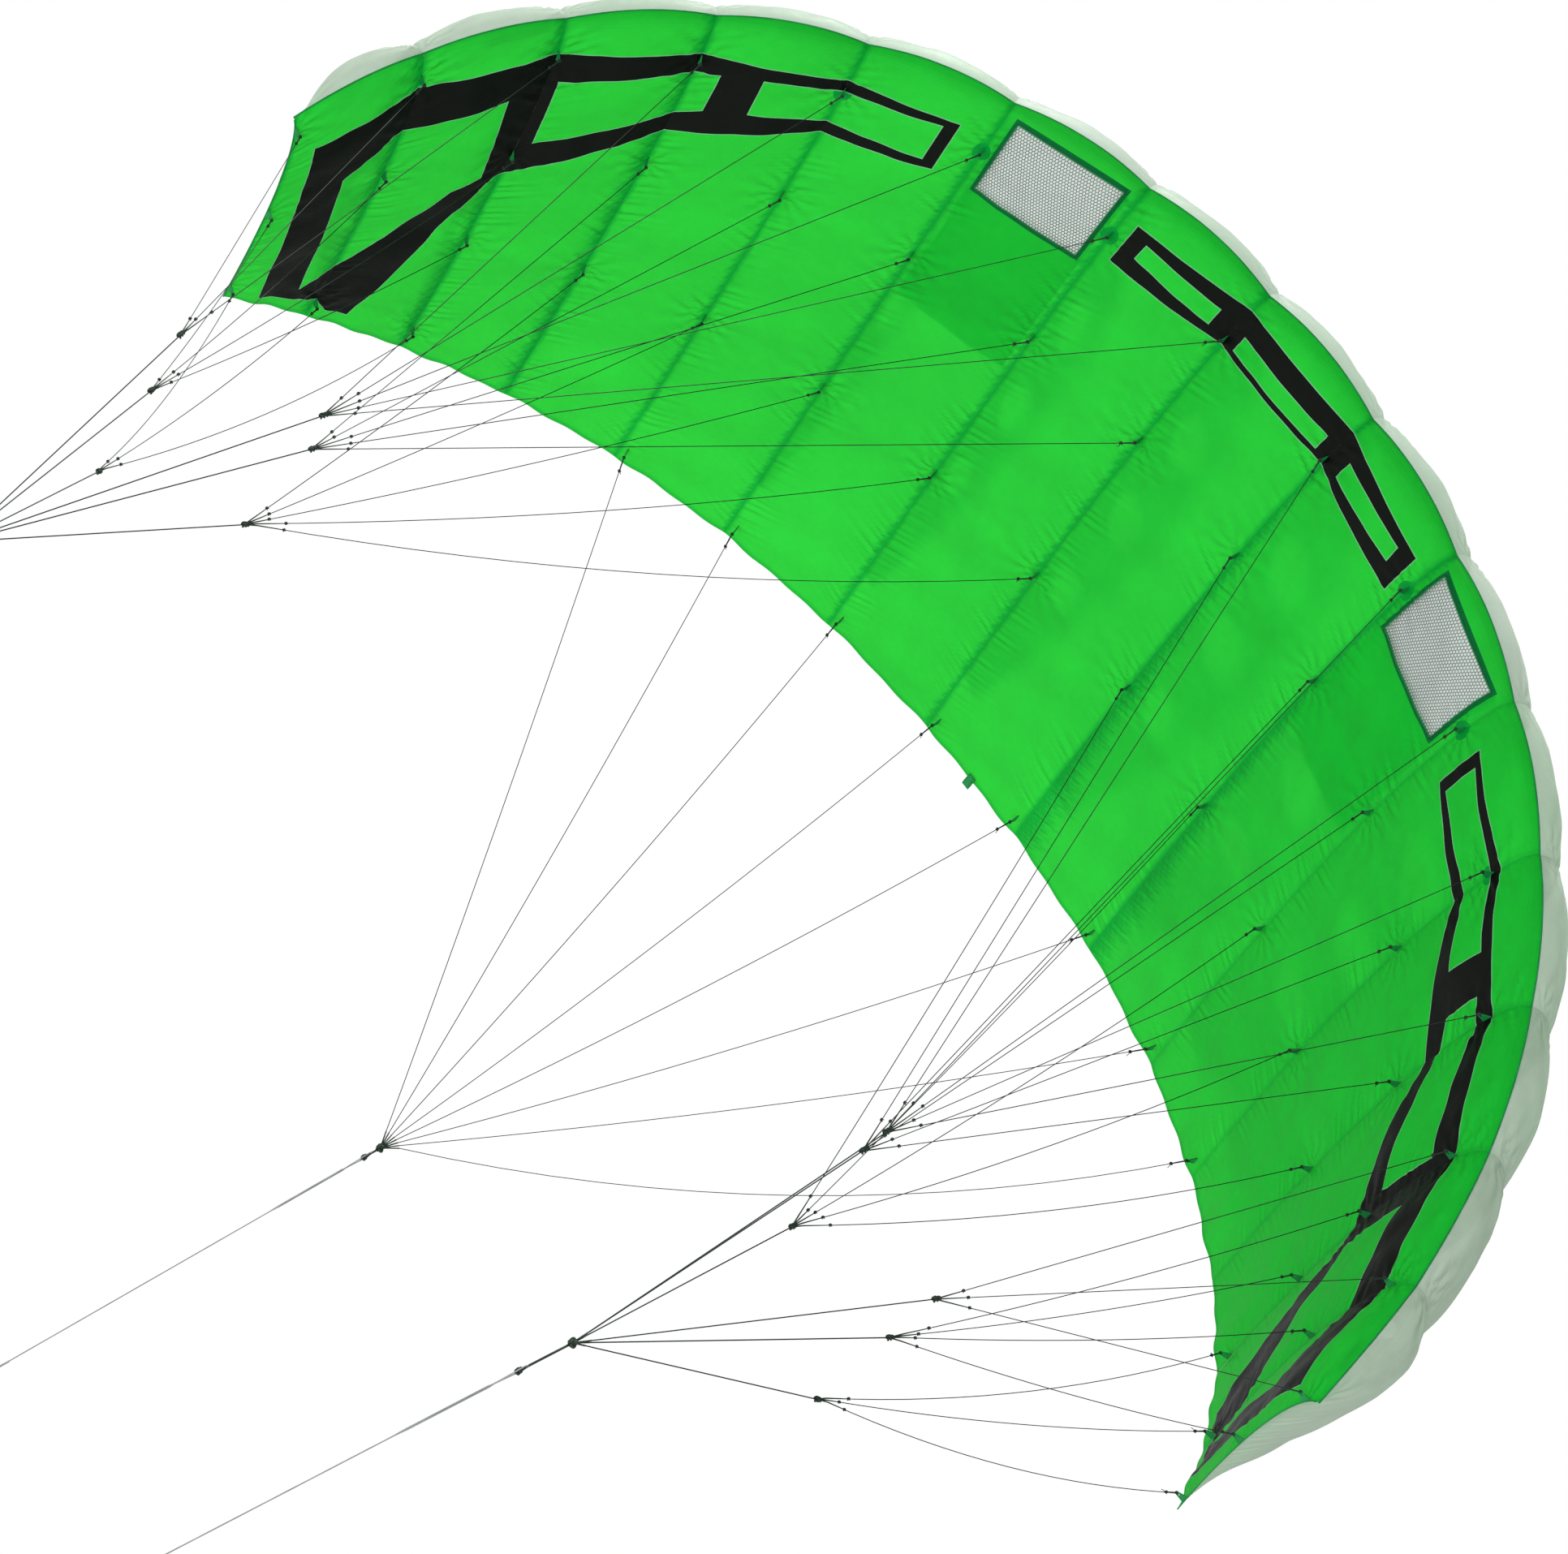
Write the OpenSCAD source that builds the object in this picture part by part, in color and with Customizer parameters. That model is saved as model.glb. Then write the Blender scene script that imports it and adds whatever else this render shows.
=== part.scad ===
/* [Canopy] */
// Span of the canopy laid out flat, tip to tip
flat_span = 3500; // [3200:50:3800]
// Chord of the two ribs beside the centre
centre_chord = 1200; // [1100:10:1300]
// Chord of the tip ribs
tip_chord = 435; // [380:5:500]
// How far the leading edge of the tip rib lies behind the centre
tip_sweep = 607; // [500:10:700]
// Slope of the canopy at the tips, in degrees
tip_angle = 80; // [70:1:85]
// Share by which the tip cell is narrower than the centre cell
cell_taper = 0.39; // [0.3:0.01:0.45]
// Nose-down twist of the tip ribs, in degrees
tip_twist = 4.9; // [0:0.1:8]
// Toe-in of the tip ribs, in degrees
tip_toe_in = 6.1; // [0:0.1:8]
// Height of the upper skin above the chord line, as a share of the chord
upper_camber = 0.11; // [0.09:0.005:0.13]
// Depth of the lower skin below the chord line, as a share of the chord
lower_camber = 0.059; // [0.04:0.001:0.07]
// Thickness of the skins and ribs
skin_t = 1; // [0.8:0.1:1.2]

/* [Vents and valves] */
// Front edge of the mesh window, as a share of the chord
vent_front = 0.014; // [0.013:0.001:0.02]
// Rear edge of the mesh window, as a share of the chord
vent_rear = 0.128; // [0.115:0.001:0.15]
// Rear edge of the inner valve flap, as a share of the chord
valve_rear = 0.36; // [0.3:0.01:0.4]

/* [Brake flaps] */
// Hinge line of the brake flaps, as a share of the chord
hinge_u = 0.86; // [0.82:0.01:0.9]
// Gap in front of and beside each brake flap
flap_gap = 1.5; // [1:0.1:2]

/* [Lines] */
// Height of the canopy's nose above the line knots
nose_z = 2276; // [2200:2:2350]
// Diameter of the upper bridle lines
bridle_d = 1.4; // [1:0.1:1.8]
// Diameter of the main bridle lines and the flying lines
main_d = 2; // [1.6:0.1:2.4]
// Diameter of the sleeves over the line ends
sleeve_d = 2.6; // [2:0.1:3]
// Length of the sleeves over the line ends
sleeve_l = 30; // [20:1:40]

/* [Hidden] */

CELLS = 15;
STEPS = 60;
NOSE_Y = -436;
// Stations along the profile: each is the square root of its share of the chord.
NOSE_STATIONS = [0, 0.06, 0.11];
BODY_STATIONS = [0.24, 0.33];
REAR_STATIONS = [0.52, 0.64, 0.76, 0.86];
HINGE_W = sqrt(hinge_u);
STATIONS = concat(NOSE_STATIONS, sqrt(vent_front), BODY_STATIONS, sqrt(vent_rear),
                  REAR_STATIONS, HINGE_W, 1);
FLAP_STATIONS = [HINGE_W, 0.965, 0.999];
SPREAD = [0, 0.1, 0.37, 0.63, 0.9, 1];
BILLOW_TOP = 0.11;
BILLOW_BASE = 0.045;
BILLOW_NOSE = 0.07;
// Extra billow of the upper skin in the last cell
TIP_PUFF = 1.4;
VENT_CELL = 2;
FLAP_CELLS = 3;
SEAM = 0.5;

// Bridle knots of the right half: x, y, z
KNOT_A = [703, -80, 768];
KNOT_B = [692, -6, 778];
KNOT_C = [697, 174, 738];
KNOT_TIP_A = [943, -20, 695];
KNOT_TIP_B = [932, 103, 690];
KNOT_TIP_REAR = [920, 281, 663];
TOW_POINT = [744, -33, 83];
LINE_KNOT = [734, 0, 0];
BRAKE_POINT = [0, 1156, 1026];
PULL_DIR = [-0.111, 0.367, -0.924];
BRAKE_DIR = [0, 0.175, -0.985];

GREEN = "limegreen";
WHITE = "white";

// ---- The canopy's arc and planform ----

function arc_angle(s) = tip_angle * pow(s, 1.16);
half_unit = flat_span / 2 / (1 - cell_taper / 3);
function step_len(s) = half_unit / STEPS * (1 - cell_taper * s * s);
ARC_X = [for (i = 0, x = 0; i <= STEPS; x = x + step_len((i + 0.5) / STEPS)
         * cos(arc_angle((i + 0.5) / STEPS)), i = i + 1) [i / STEPS, x]];
ARC_Z = [for (i = 0, z = 0; i <= STEPS; z = z + step_len((i + 0.5) / STEPS)
         * sin(arc_angle((i + 0.5) / STEPS)), i = i + 1) [i / STEPS, z]];

function nose(s) = [sign(s) * lookup(abs(s), ARC_X),
                    NOSE_Y + tip_sweep * pow(abs(s), 2.1),
                    nose_z - lookup(abs(s), ARC_Z)];
function chord(s) = centre_chord - (centre_chord - tip_chord) * pow(abs(s), 2.14);
function lean(s) = sign(s) * arc_angle(abs(s));
function up(s) = [sin(lean(s)), 0, cos(lean(s))];
function across(s) = [cos(lean(s)), 0, -sin(lean(s))];
function along(s) = unit([0, cos(tip_toe_in * s), 0] - across(s) * sin(tip_toe_in * s)
                         - up(s) * sin(tip_twist * s * s));
function unit(v) = v / norm(v);
function mix(a, b, v) = a + (b - a) * v;

// ---- The aerofoil ----

function fullness(w) = 2.969 * w - 1.26 * pow(w, 2) - 3.516 * pow(w, 4)
                       + 2.843 * pow(w, 6) - 1.036 * pow(w, 8);
function fullness_slope(w) = (fullness(w + 0.001) - fullness(w)) / (pow(w + 0.001, 2) - w * w);
// The last cell closes to a seam at the tip: 0 up to the rib before it and 1 at the tip.
function closing(s) = max(0, 1 - (1 - abs(s)) * CELLS / 2);
function camber(s, side) = side > 0 ? mix(upper_camber, -lower_camber, closing(s)) : -lower_camber;
// The skins meet in a thin seam along the trailing edge and the tips.
function seam_rise(s, w, side) = side * (skin_t + 0.3) * max(w * w, closing(s));
function skin_point(s, w, side) =
  nose(s) + along(s) * chord(s) * w * w
  + up(s) * (chord(s) * camber(s, side) * fullness(w) + seam_rise(s, w, side));
function outward(s, w, side) =
  let (slope = abs(camber(s, side)) * fullness_slope(w))
  unit(-along(s) * slope + up(s) * side);
function billow_share(w) = pow(max(0, 1 - w * w), 0.8);
function rib_s(k) = (2 * k + 1) / CELLS;

// A point of the skin of the cell between s0 and s1, inset by depth.
function cell_point(s0, s1, w, v, side, depth) =
  let (mid = (s0 + s1) / 2,
       width = norm(nose(s1) - nose(s0)),
       puff = 1 + TIP_PUFF * max(0, (abs(mid) - 0.78) / 0.153),
       full = side > 0 ? BILLOW_TOP * puff : BILLOW_BASE,
       share = mix(BILLOW_NOSE, full, min(1, w / 0.3)),
       rise = 4 * v * (1 - v) * width * share * billow_share(w))
  mix(skin_point(s0, w, side), skin_point(s1, w, side), v)
  + outward(mid, w, side) * (rise - depth);

// ---- Closed shells over a grid of points, with an optional rectangular hole ----

function kept(i, j, nu, nv, hole) =
  i >= 0 && i < nu && j >= 0 && j < nv
  && !(i >= hole[0] && i < hole[1] && j >= hole[2] && j < hole[3]);
function turned(face, flip) = flip ? [for (i = [len(face) - 1:-1:0]) face[i]] : face;

module shell(outer, inner, hole = [0, 0, 0, 0], flip = false) {
  nu = len(outer) - 1;
  nv = len(outer[0]) - 1;
  n = (nu + 1) * (nv + 1);
  points = concat([for (row = outer) for (p = row) p], [for (row = inner) for (p = row) p]);
  cells = [for (i = [0:nu - 1]) for (j = [0:nv - 1]) if (kept(i, j, nu, nv, hole)) [i, j]];
  corners = [[0, 0], [1, 0], [1, 1], [0, 1]];
  beside = [[0, -1], [1, 0], [0, 1], [-1, 0]];
  skins = [for (c = cells)
    let (q = [for (k = corners) (c.x + k.x) * (nv + 1) + c.y + k.y])
    for (t = [[q[0], q[1], q[2]], [q[0], q[2], q[3]]])
      each [t, [t[2] + n, t[1] + n, t[0] + n]]];
  walls = [for (c = cells)
    let (q = [for (k = corners) (c.x + k.x) * (nv + 1) + c.y + k.y])
    for (e = [0:3])
      if (!kept(c.x + beside[e].x, c.y + beside[e].y, nu, nv, hole))
        let (a = q[e], b = q[(e + 1) % 4]) each [[b, a, a + n], [b, a + n, b + n]]];
  used = [for (f = concat(skins, walls)) turned(f, flip)];
  polyhedron(points, used);
}

// A round tube along the given points, its sections set out from the direction ref.
module tube(path, d, sides = 8, ref = [0, 0, 1]) {
  last = len(path) - 1;
  rings = [for (i = [0:last])
    let (t = unit(path[min(i + 1, last)] - path[max(i - 1, 0)]),
         a = unit(cross(t, ref)),
         b = cross(t, a))
    for (k = [0:sides - 1]) path[i] + (a * cos(360 * k / sides) + b * sin(360 * k / sides)) * d / 2];
  walls = [for (i = [0:last - 1]) for (k = [0:sides - 1])
    [i * sides + k, (i + 1) * sides + k,
     (i + 1) * sides + (k + 1) % sides, i * sides + (k + 1) % sides]];
  start = [[for (k = [0:sides - 1]) k]];
  end = [[for (k = [sides - 1:-1:0]) last * sides + k]];
  polyhedron(rings, concat(walls, start, end));
}

// ---- Placement helpers ----

// The child's axes go along x, y and z.
module placed(origin, x, y, z) {
  multmatrix([[x.x, y.x, z.x, origin.x], [x.y, y.y, z.y, origin.y],
              [x.z, y.z, z.z, origin.z], [0, 0, 0, 1]]) children();
}
module between(a, b) {
  v = b - a;
  translate(a) rotate([0, acos(v.z / norm(v)), atan2(v.y, v.x)]) children();
}
function flipped(p) = [-p.x, p.y, p.z];
function on_side(p, right) = right ? p : flipped(p);

// ---- Skins ----

function has_flap(cell) = cell <= FLAP_CELLS;
function seam_w(s, side) = 1.6 / (2.969 * abs(camber(s, side)) * chord(s));
function end_w(cell, s) = has_flap(cell) ? sqrt(hinge_u - flap_gap / chord(s)) : 1;
function stations(cell, s, side) =
  [for (w = STATIONS) if (w <= (has_flap(cell) ? HINGE_W : 1))
    min(max(w, seam_w(s, side)), end_w(cell, s))];
function spread(s0, s1) =
  let (edge = SEAM / norm(nose(s1) - nose(s0))) [for (v = SPREAD) mix(edge, 1 - edge, v)];
function sheet(s0, s1, ws, vs, side, depth) =
  [for (w = ws) [for (v = vs) cell_point(s0, s1, w, v, side, depth)]];

module panel(cell, s0, s1, side) {
  ws = stations(cell, (s0 + s1) / 2, side);
  vs = spread(s0, s1);
  hole = side < 0 && cell == VENT_CELL ? [3, 6, 1, 4] : [0, 0, 0, 0];
  shell(sheet(s0, s1, ws, vs, side, 0), sheet(s0, s1, ws, vs, side, skin_t), hole, side < 0);
}
module panel_pair(cell, side) {
  if (cell == 0) panel(0, rib_s(-1), rib_s(0), side);
  else {
    panel(cell, rib_s(cell - 1), rib_s(cell), side);
    panel(cell, -rib_s(cell), -rib_s(cell - 1), side);
  }
}
module upper_panels(cell) {
  color(WHITE) panel_pair(cell, 1);
}
module lower_panels(cell) {
  color(GREEN) panel_pair(cell, -1);
}

// ---- Ribs with their cross ports ----

function rib_x(s) = along(s);
function rib_z(s) = unit(cross(along(s), up(s)));
function rib_y(s) = cross(rib_z(s), rib_x(s));
function flat_point(s, p) = [(p - nose(s)) * rib_x(s), (p - nose(s)) * rib_y(s)];
function rib_end(k) = k <= FLAP_CELLS ? sqrt(hinge_u - 2 * flap_gap / centre_chord) : 0.98;
function rib_edge(s, ws, side) =
  [for (w = ws) flat_point(s, skin_point(s, w, side) - outward(s, w, side) * (skin_t + 0.8))];

module rib(k, s) {
  ws = concat([0.04], [for (w = STATIONS) if (w > 0.05 && w < rib_end(k) - 0.01) w], rib_end(k));
  backward = [for (i = [len(ws) - 1:-1:0]) ws[i]];
  placed(nose(s), rib_x(s), rib_y(s), rib_z(s))
    linear_extrude(skin_t, center = true) difference() {
      polygon(concat(rib_edge(s, ws, 1), rib_edge(s, backward, -1)));
      for (u = [0.2, 0.38, 0.56])
        translate([u * chord(s), (upper_camber - lower_camber) / 2 * fullness(sqrt(u)) * chord(s)])
          circle(d = 0.09 * fullness(sqrt(u)) * chord(s), $fn = 40);
    }
}
module ribs(k) {
  color("palegreen") {
    rib(k, rib_s(k));
    rib(k, -rib_s(k));
  }
}

// ---- Leading edge piping, mesh windows and valve flaps ----

module leading_edge_piping() {
  path = [for (k = [-8:6]) for (v = [0, 0.25, 0.5, 0.75])
            cell_point(rib_s(k), rib_s(k + 1), 0, v, 1, 0.6)];
  color("green") tube(concat(path, [cell_point(rib_s(6), rib_s(7), 0, 1, 1, 0.6)]),
                      2, 6, [0, 1, 0.3]);
}

// The bound edge of a tip, where the upper and lower skins are sewn together.
module tip_piping(right) {
  out = rib_z(1) * 1.2;
  path = [for (w = [0.04, 0.15, 0.3, 0.45, 0.6, 0.75, 0.9, 1])
            on_side((skin_point(1, w, 1) + skin_point(1, w, -1)) / 2 + out, right)];
  color("green") tube(path, 2, 6, [1, 0, 0.2]);
}

VENT_S0 = rib_s(VENT_CELL - 1);
VENT_S1 = rib_s(VENT_CELL);
module vent_mesh(right) {
  margin = 0.6 / chord(VENT_S0);
  ws = [for (u = [vent_front + margin, 0.05, 0.09, vent_rear - margin]) sqrt(u)];
  vs = [0.105, 0.37, 0.63, 0.895];
  s0 = right ? VENT_S0 : -VENT_S1;
  s1 = right ? VENT_S1 : -VENT_S0;
  color("gainsboro")
    shell(sheet(s0, s1, ws, vs, -1, 0.2), sheet(s0, s1, ws, vs, -1, 0.8), flip = true);
}
module valve_flap(right) {
  ws = [for (u = [vent_front - 0.003, 0.05, 0.09, vent_rear, valve_rear]) sqrt(u)];
  vs = [0.06, 0.37, 0.63, 0.94];
  s0 = right ? VENT_S0 : -VENT_S1;
  s1 = right ? VENT_S1 : -VENT_S0;
  color("whitesmoke")
    shell(sheet(s0, s1, ws, vs, -1, 6), sheet(s0, s1, ws, vs, -1, 7), flip = true);
}

// ---- Brake flaps: the stuffed rear edge of the centre cells ----

function flap_row(s0, s1, w, side) =
  let (share = (w * w - hinge_u) / (1 - hinge_u),
       gap = mix(0.7, 3, share) * flap_gap,
       edge = (SEAM + gap) / norm(nose(s1) - nose(s0)))
  [for (v = SPREAD) cell_point(s0, s1, w, mix(edge, 1 - edge, v), side, 0)];

module brake_flap(s0, s1) {
  color(GREEN) shell([for (w = FLAP_STATIONS) flap_row(s0, s1, w, 1)],
                     [for (w = FLAP_STATIONS) flap_row(s0, s1, w, -1)]);
}

// ---- Tabs that the lines are tied to ----

TAB_HOLE = 11;
TAB_END = 16;
TAB_LIFT = 0.4;
LINE_GAP = 1.3;
BRAKE_GAP = 2;
function tab_w(row, s) =
  row == "a" ? sqrt(0.074 * (1 - 0.45 * pow(s, 4)))
  : row == "b" ? sqrt(0.287 + 0.173 * pow(s, 4))
  : row == "c" ? sqrt(0.606)
  : sqrt(0.93);
function tab_root(row, s) = skin_point(s, tab_w(row, s), -1);
function tab_out(row, s) = outward(s, tab_w(row, s), -1);
function tab_tip(row, s) = tab_root(row, s) + tab_out(row, s) * (TAB_LIFT + TAB_END + LINE_GAP);

module tab_shape() {
  difference() {
    polygon([[-9, 0], [9, 0], [3.5, TAB_END], [-3.5, TAB_END]]);
    translate([0, TAB_HOLE]) circle(r = 1.6, $fn = 24);
  }
}
module tab(row, s) {
  out = tab_out(row, s);
  side = rib_z(s);
  placed(tab_root(row, s) + out * TAB_LIFT, unit(cross(out, side)), out, side)
    linear_extrude(1.2, center = true) tab_shape();
}
module tab_row(row, first, last) {
  color("green") for (k = [first:last]) {
    tab(row, rib_s(k));
    tab(row, -rib_s(k));
  }
}

// The tab of a brake branch hangs from the rear edge of a flap, at share v of its cell.
BRAKE_TAB_W = 0.985;
function brake_v(k, outer) =
  let (edge = 16 / norm(nose(rib_s(k)) - nose(rib_s(k - 1)))) outer ? 1 - edge : edge;
function brake_root(s0, s1, v) = cell_point(s0, s1, BRAKE_TAB_W, v, -1, 0);
function brake_out(s0, s1) = outward((s0 + s1) / 2, BRAKE_TAB_W, -1);
function brake_tip(k) =
  brake_root(rib_s(k - 1), rib_s(k), brake_v(k, true))
  + brake_out(rib_s(k - 1), rib_s(k)) * (TAB_LIFT + TAB_END + BRAKE_GAP);

module brake_tab(s0, s1, v) {
  out = brake_out(s0, s1);
  side = rib_z((s0 + s1) / 2);
  color("green") placed(brake_root(s0, s1, v) + out * TAB_LIFT, unit(cross(out, side)), out, side)
    linear_extrude(1.2, center = true) tab_shape();
}
module brake_flap_centre() {
  brake_flap(rib_s(-1), rib_s(0));
  brake_tab(rib_s(-1), rib_s(0), brake_v(0, true));
  brake_tab(rib_s(-1), rib_s(0), brake_v(0, false));
}
module brake_flap_right(k) {
  brake_flap(rib_s(k - 1), rib_s(k));
  brake_tab(rib_s(k - 1), rib_s(k), brake_v(k, true));
}
module brake_flap_left(k) {
  brake_flap(-rib_s(k), -rib_s(k - 1));
  brake_tab(-rib_s(k), -rib_s(k - 1), 1 - brake_v(k, true));
}

// A small webbing loop for opening the rear edge, beside the centre of the canopy.
module pull_tab() {
  root = cell_point(rib_s(-1), rib_s(0), 0.995, 0.5, -1, -1.2);
  color("green") translate(root) difference() {
    translate([-8, -2, -1]) cube([16, 30, 1.2]);
    translate([0, 21, -2]) cylinder(h = 4, r = 2.5, $fn = 24);
  }
}

// ---- Lines ----

FAN = 24;
TOW_FAN = 32;
SLACK_DIR = [0.78, 0.15, -0.61];
// How far the lines of a fan bow, from the centre outwards
SAG_C_LEFT = [40, 20, 10, 6, 6];
SAG_C_RIGHT = [6, 8, 12, 18, 24];
SAG_TIP_B = [10, 10, 10];
SAG_TIP_REAR = [28, 14, 30];
SAG_BRAKE = 14;
SAG_BRAKE_SLACK = 76;

// A straight line with a sleeve at each end.
module taut_line(a, b, d) {
  l = norm(b - a);
  between(a, b) {
    cylinder(h = l, d = d, $fn = 24);
    cylinder(h = sleeve_l, d = sleeve_d, $fn = 24);
    translate([0, 0, l - sleeve_l]) cylinder(h = sleeve_l, d = sleeve_d, $fn = 24);
  }
}
// A line that hangs in a shallow bow between its ends.
module slack_line(a, b, d, sag) {
  path = [for (v = [0:0.125:1]) mix(a, b, v) + SLACK_DIR * sag * 4 * v * (1 - v)];
  tube(path, d, 6, [0, 1, 0.2]);
}
// The gathered loops where a fan of lines meets the line below it.
module gather(knot, below, h, r) {
  between(knot, knot + unit(knot - below) * h) cylinder(h = h, r1 = 1.5, r2 = r, $fn = 32);
}
function fan_start(knot, tip, start) = knot + unit(tip - knot) * start;

module fan(knot, row, first, last, right, sags = []) {
  k_at = on_side(knot, right);
  for (k = [first:last]) {
    tip = on_side(tab_tip(row, rib_s(k)), right);
    end = fan_start(k_at, tip, FAN);
    if (len(sags) > 0) slack_line(tip, end, bridle_d, sags[k - first]);
    else taut_line(tip, end, bridle_d);
  }
}
module knots(right) {
  for (k = [KNOT_A, KNOT_B, KNOT_C, KNOT_TIP_A, KNOT_TIP_B, KNOT_TIP_REAR])
    gather(on_side(k, right), on_side(TOW_POINT, right), FAN - 4, 4.5);
}
module bridle(right) {
  color("dimgray") {
    fan(KNOT_A, "a", 0, 4, right);
    fan(KNOT_B, "b", 0, 4, right);
    fan(KNOT_C, "c", 0, 4, right, right ? SAG_C_RIGHT : SAG_C_LEFT);
    fan(KNOT_TIP_A, "a", 5, 7, right);
    fan(KNOT_TIP_B, "b", 5, 7, right, SAG_TIP_B);
    fan(KNOT_TIP_B, "c", 5, 5, right, SAG_TIP_B);
    fan(KNOT_TIP_REAR, "rear", 5, 7, right, SAG_TIP_REAR);
    knots(right);
  }
}
module main_lines(right) {
  tow = on_side(TOW_POINT, right);
  end = on_side(LINE_KNOT, right);
  color("gray") {
    for (k = [KNOT_A, KNOT_B, KNOT_C, KNOT_TIP_A, KNOT_TIP_B, KNOT_TIP_REAR])
      let (top = on_side(k, right))
      taut_line(top - unit(top - tow) * 0.3, fan_start(tow, top, TOW_FAN), main_d);
    gather(tow, end, TOW_FAN - 4, 8);
    between(tow, end) cylinder(h = norm(tow - end), d = 3.6, $fn = 24);
    translate(end) sphere(r = 4.5, $fn = 32);
  }
}

// ---- Flying lines: a loop round the pigtail's knot, a spliced sleeve, the line, an end loop ----

LOOP_R = 7.5;
LOOP_UP = 9;
THROAT = 44;
SPLICE = 200;
END_R = 10;
RIGHT_LENGTH = 600;
LEFT_LENGTH = 215;
BRAKE_LENGTH = 805;

module flying_line(knot, dir, length) {
  between(knot, knot + dir * length) {
    translate([0, 0, -LOOP_UP]) rotate_extrude($fn = 48) translate([LOOP_R, 0]) circle(r = 1, $fn = 24);
    for (side = [-1, 1])
      between([side * LOOP_R, 0, -LOOP_UP], [0, 0, THROAT])
        cylinder(h = norm([LOOP_R, 0, THROAT + LOOP_UP]), r = 0.9, $fn = 24);
    translate([0, 0, THROAT - 4]) cylinder(h = SPLICE - THROAT + 4, d = 4, $fn = 24);
    translate([0, 0, THROAT]) cylinder(h = length - THROAT, d = main_d, $fn = 24);
    translate([0, 0, length + END_R - 1]) rotate([90, 0, 0])
      rotate_extrude($fn = 48) translate([END_R, 0]) circle(r = 1.2, $fn = 24);
  }
}
module power_line(right) {
  color("darkgray") flying_line(on_side(LINE_KNOT, right), on_side(unit(PULL_DIR), right),
                                right ? RIGHT_LENGTH : LEFT_LENGTH);
}
BRAKE_KNOT = BRAKE_POINT + unit(BRAKE_DIR) * 36;
module brake_line() {
  color("darkgray") {
    gather(BRAKE_POINT, BRAKE_KNOT, TOW_FAN - 4, 9);
    between(BRAKE_POINT, BRAKE_KNOT) cylinder(h = norm(BRAKE_KNOT - BRAKE_POINT), d = 3.6, $fn = 24);
    translate(BRAKE_KNOT) sphere(r = 4.5, $fn = 32);
    flying_line(BRAKE_KNOT, unit(BRAKE_DIR), BRAKE_LENGTH - 36);
  }
}
module brake_branch(k, right) {
  tip = on_side(brake_tip(k), right);
  sag = right && k == FLAP_CELLS ? SAG_BRAKE_SLACK : SAG_BRAKE;
  color("dimgray") slack_line(tip, fan_start(BRAKE_POINT, tip, TOW_FAN), bridle_d, sag);
}

upper_panels(0);  // upper_panel_centre
upper_panels(1);  // upper_panels_1
upper_panels(2);  // upper_panels_2
upper_panels(3);  // upper_panels_3
upper_panels(4);  // upper_panels_4
upper_panels(5);  // upper_panels_5
upper_panels(6);  // upper_panels_6
upper_panels(7);  // upper_panels_7
lower_panels(0);  // lower_panel_centre
lower_panels(1);  // lower_panels_1
lower_panels(2);  // lower_panels_2
lower_panels(3);  // lower_panels_3
lower_panels(4);  // lower_panels_4
lower_panels(5);  // lower_panels_5
lower_panels(6);  // lower_panels_6
lower_panels(7);  // lower_panels_7
ribs(0);  // ribs_1
ribs(1);  // ribs_2
ribs(2);  // ribs_3
ribs(3);  // ribs_4
ribs(4);  // ribs_5
ribs(5);  // ribs_6
ribs(6);  // ribs_7
leading_edge_piping();
tip_piping(false);  // tip_piping_left
tip_piping(true);  // tip_piping_right
vent_mesh(false);  // vent_mesh_left
vent_mesh(true);  // vent_mesh_right
valve_flap(false);  // valve_flap_left
valve_flap(true);  // valve_flap_right
brake_flap_centre();
brake_flap_right(1);  // brake_flap_right_1
brake_flap_right(2);  // brake_flap_right_2
brake_flap_right(3);  // brake_flap_right_3
brake_flap_left(1);  // brake_flap_left_1
brake_flap_left(2);  // brake_flap_left_2
brake_flap_left(3);  // brake_flap_left_3
tab_row("a", 0, 7);  // tabs_a
tab_row("b", 0, 7);  // tabs_b
tab_row("c", 0, 5);  // tabs_c
tab_row("rear", 5, 7);  // tabs_rear
bridle(false);  // bridle_left
bridle(true);  // bridle_right
main_lines(false);  // main_lines_left
main_lines(true);  // main_lines_right
power_line(false);  // power_line_left
power_line(true);  // power_line_right
brake_line();
pull_tab();
brake_branch(0, true);  // brake_branch_right_1
brake_branch(1, true);  // brake_branch_right_2
brake_branch(2, true);  // brake_branch_right_3
brake_branch(3, true);  // brake_branch_right_4
brake_branch(0, false);  // brake_branch_left_1
brake_branch(1, false);  // brake_branch_left_2
brake_branch(2, false);  // brake_branch_left_3
brake_branch(3, false);  // brake_branch_left_4
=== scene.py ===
"""Looks of the inflated parafoil kite: cloth cells, mesh windows, tabs, bridle and lines.

Everything is in metres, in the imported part's own frame: x along the span, y from the leading
edge to the trailing edge, z up from the line knots to the canopy. A cell's cloth is laid out by
two shares: v across the cell, and u along the chord. w is the square root of u, which spaces
points closely round the nose.
"""

import math

import bpy
import numpy as np
from mathutils import Matrix, Vector
from mathutils.geometry import delaunay_2d_cdt


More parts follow.
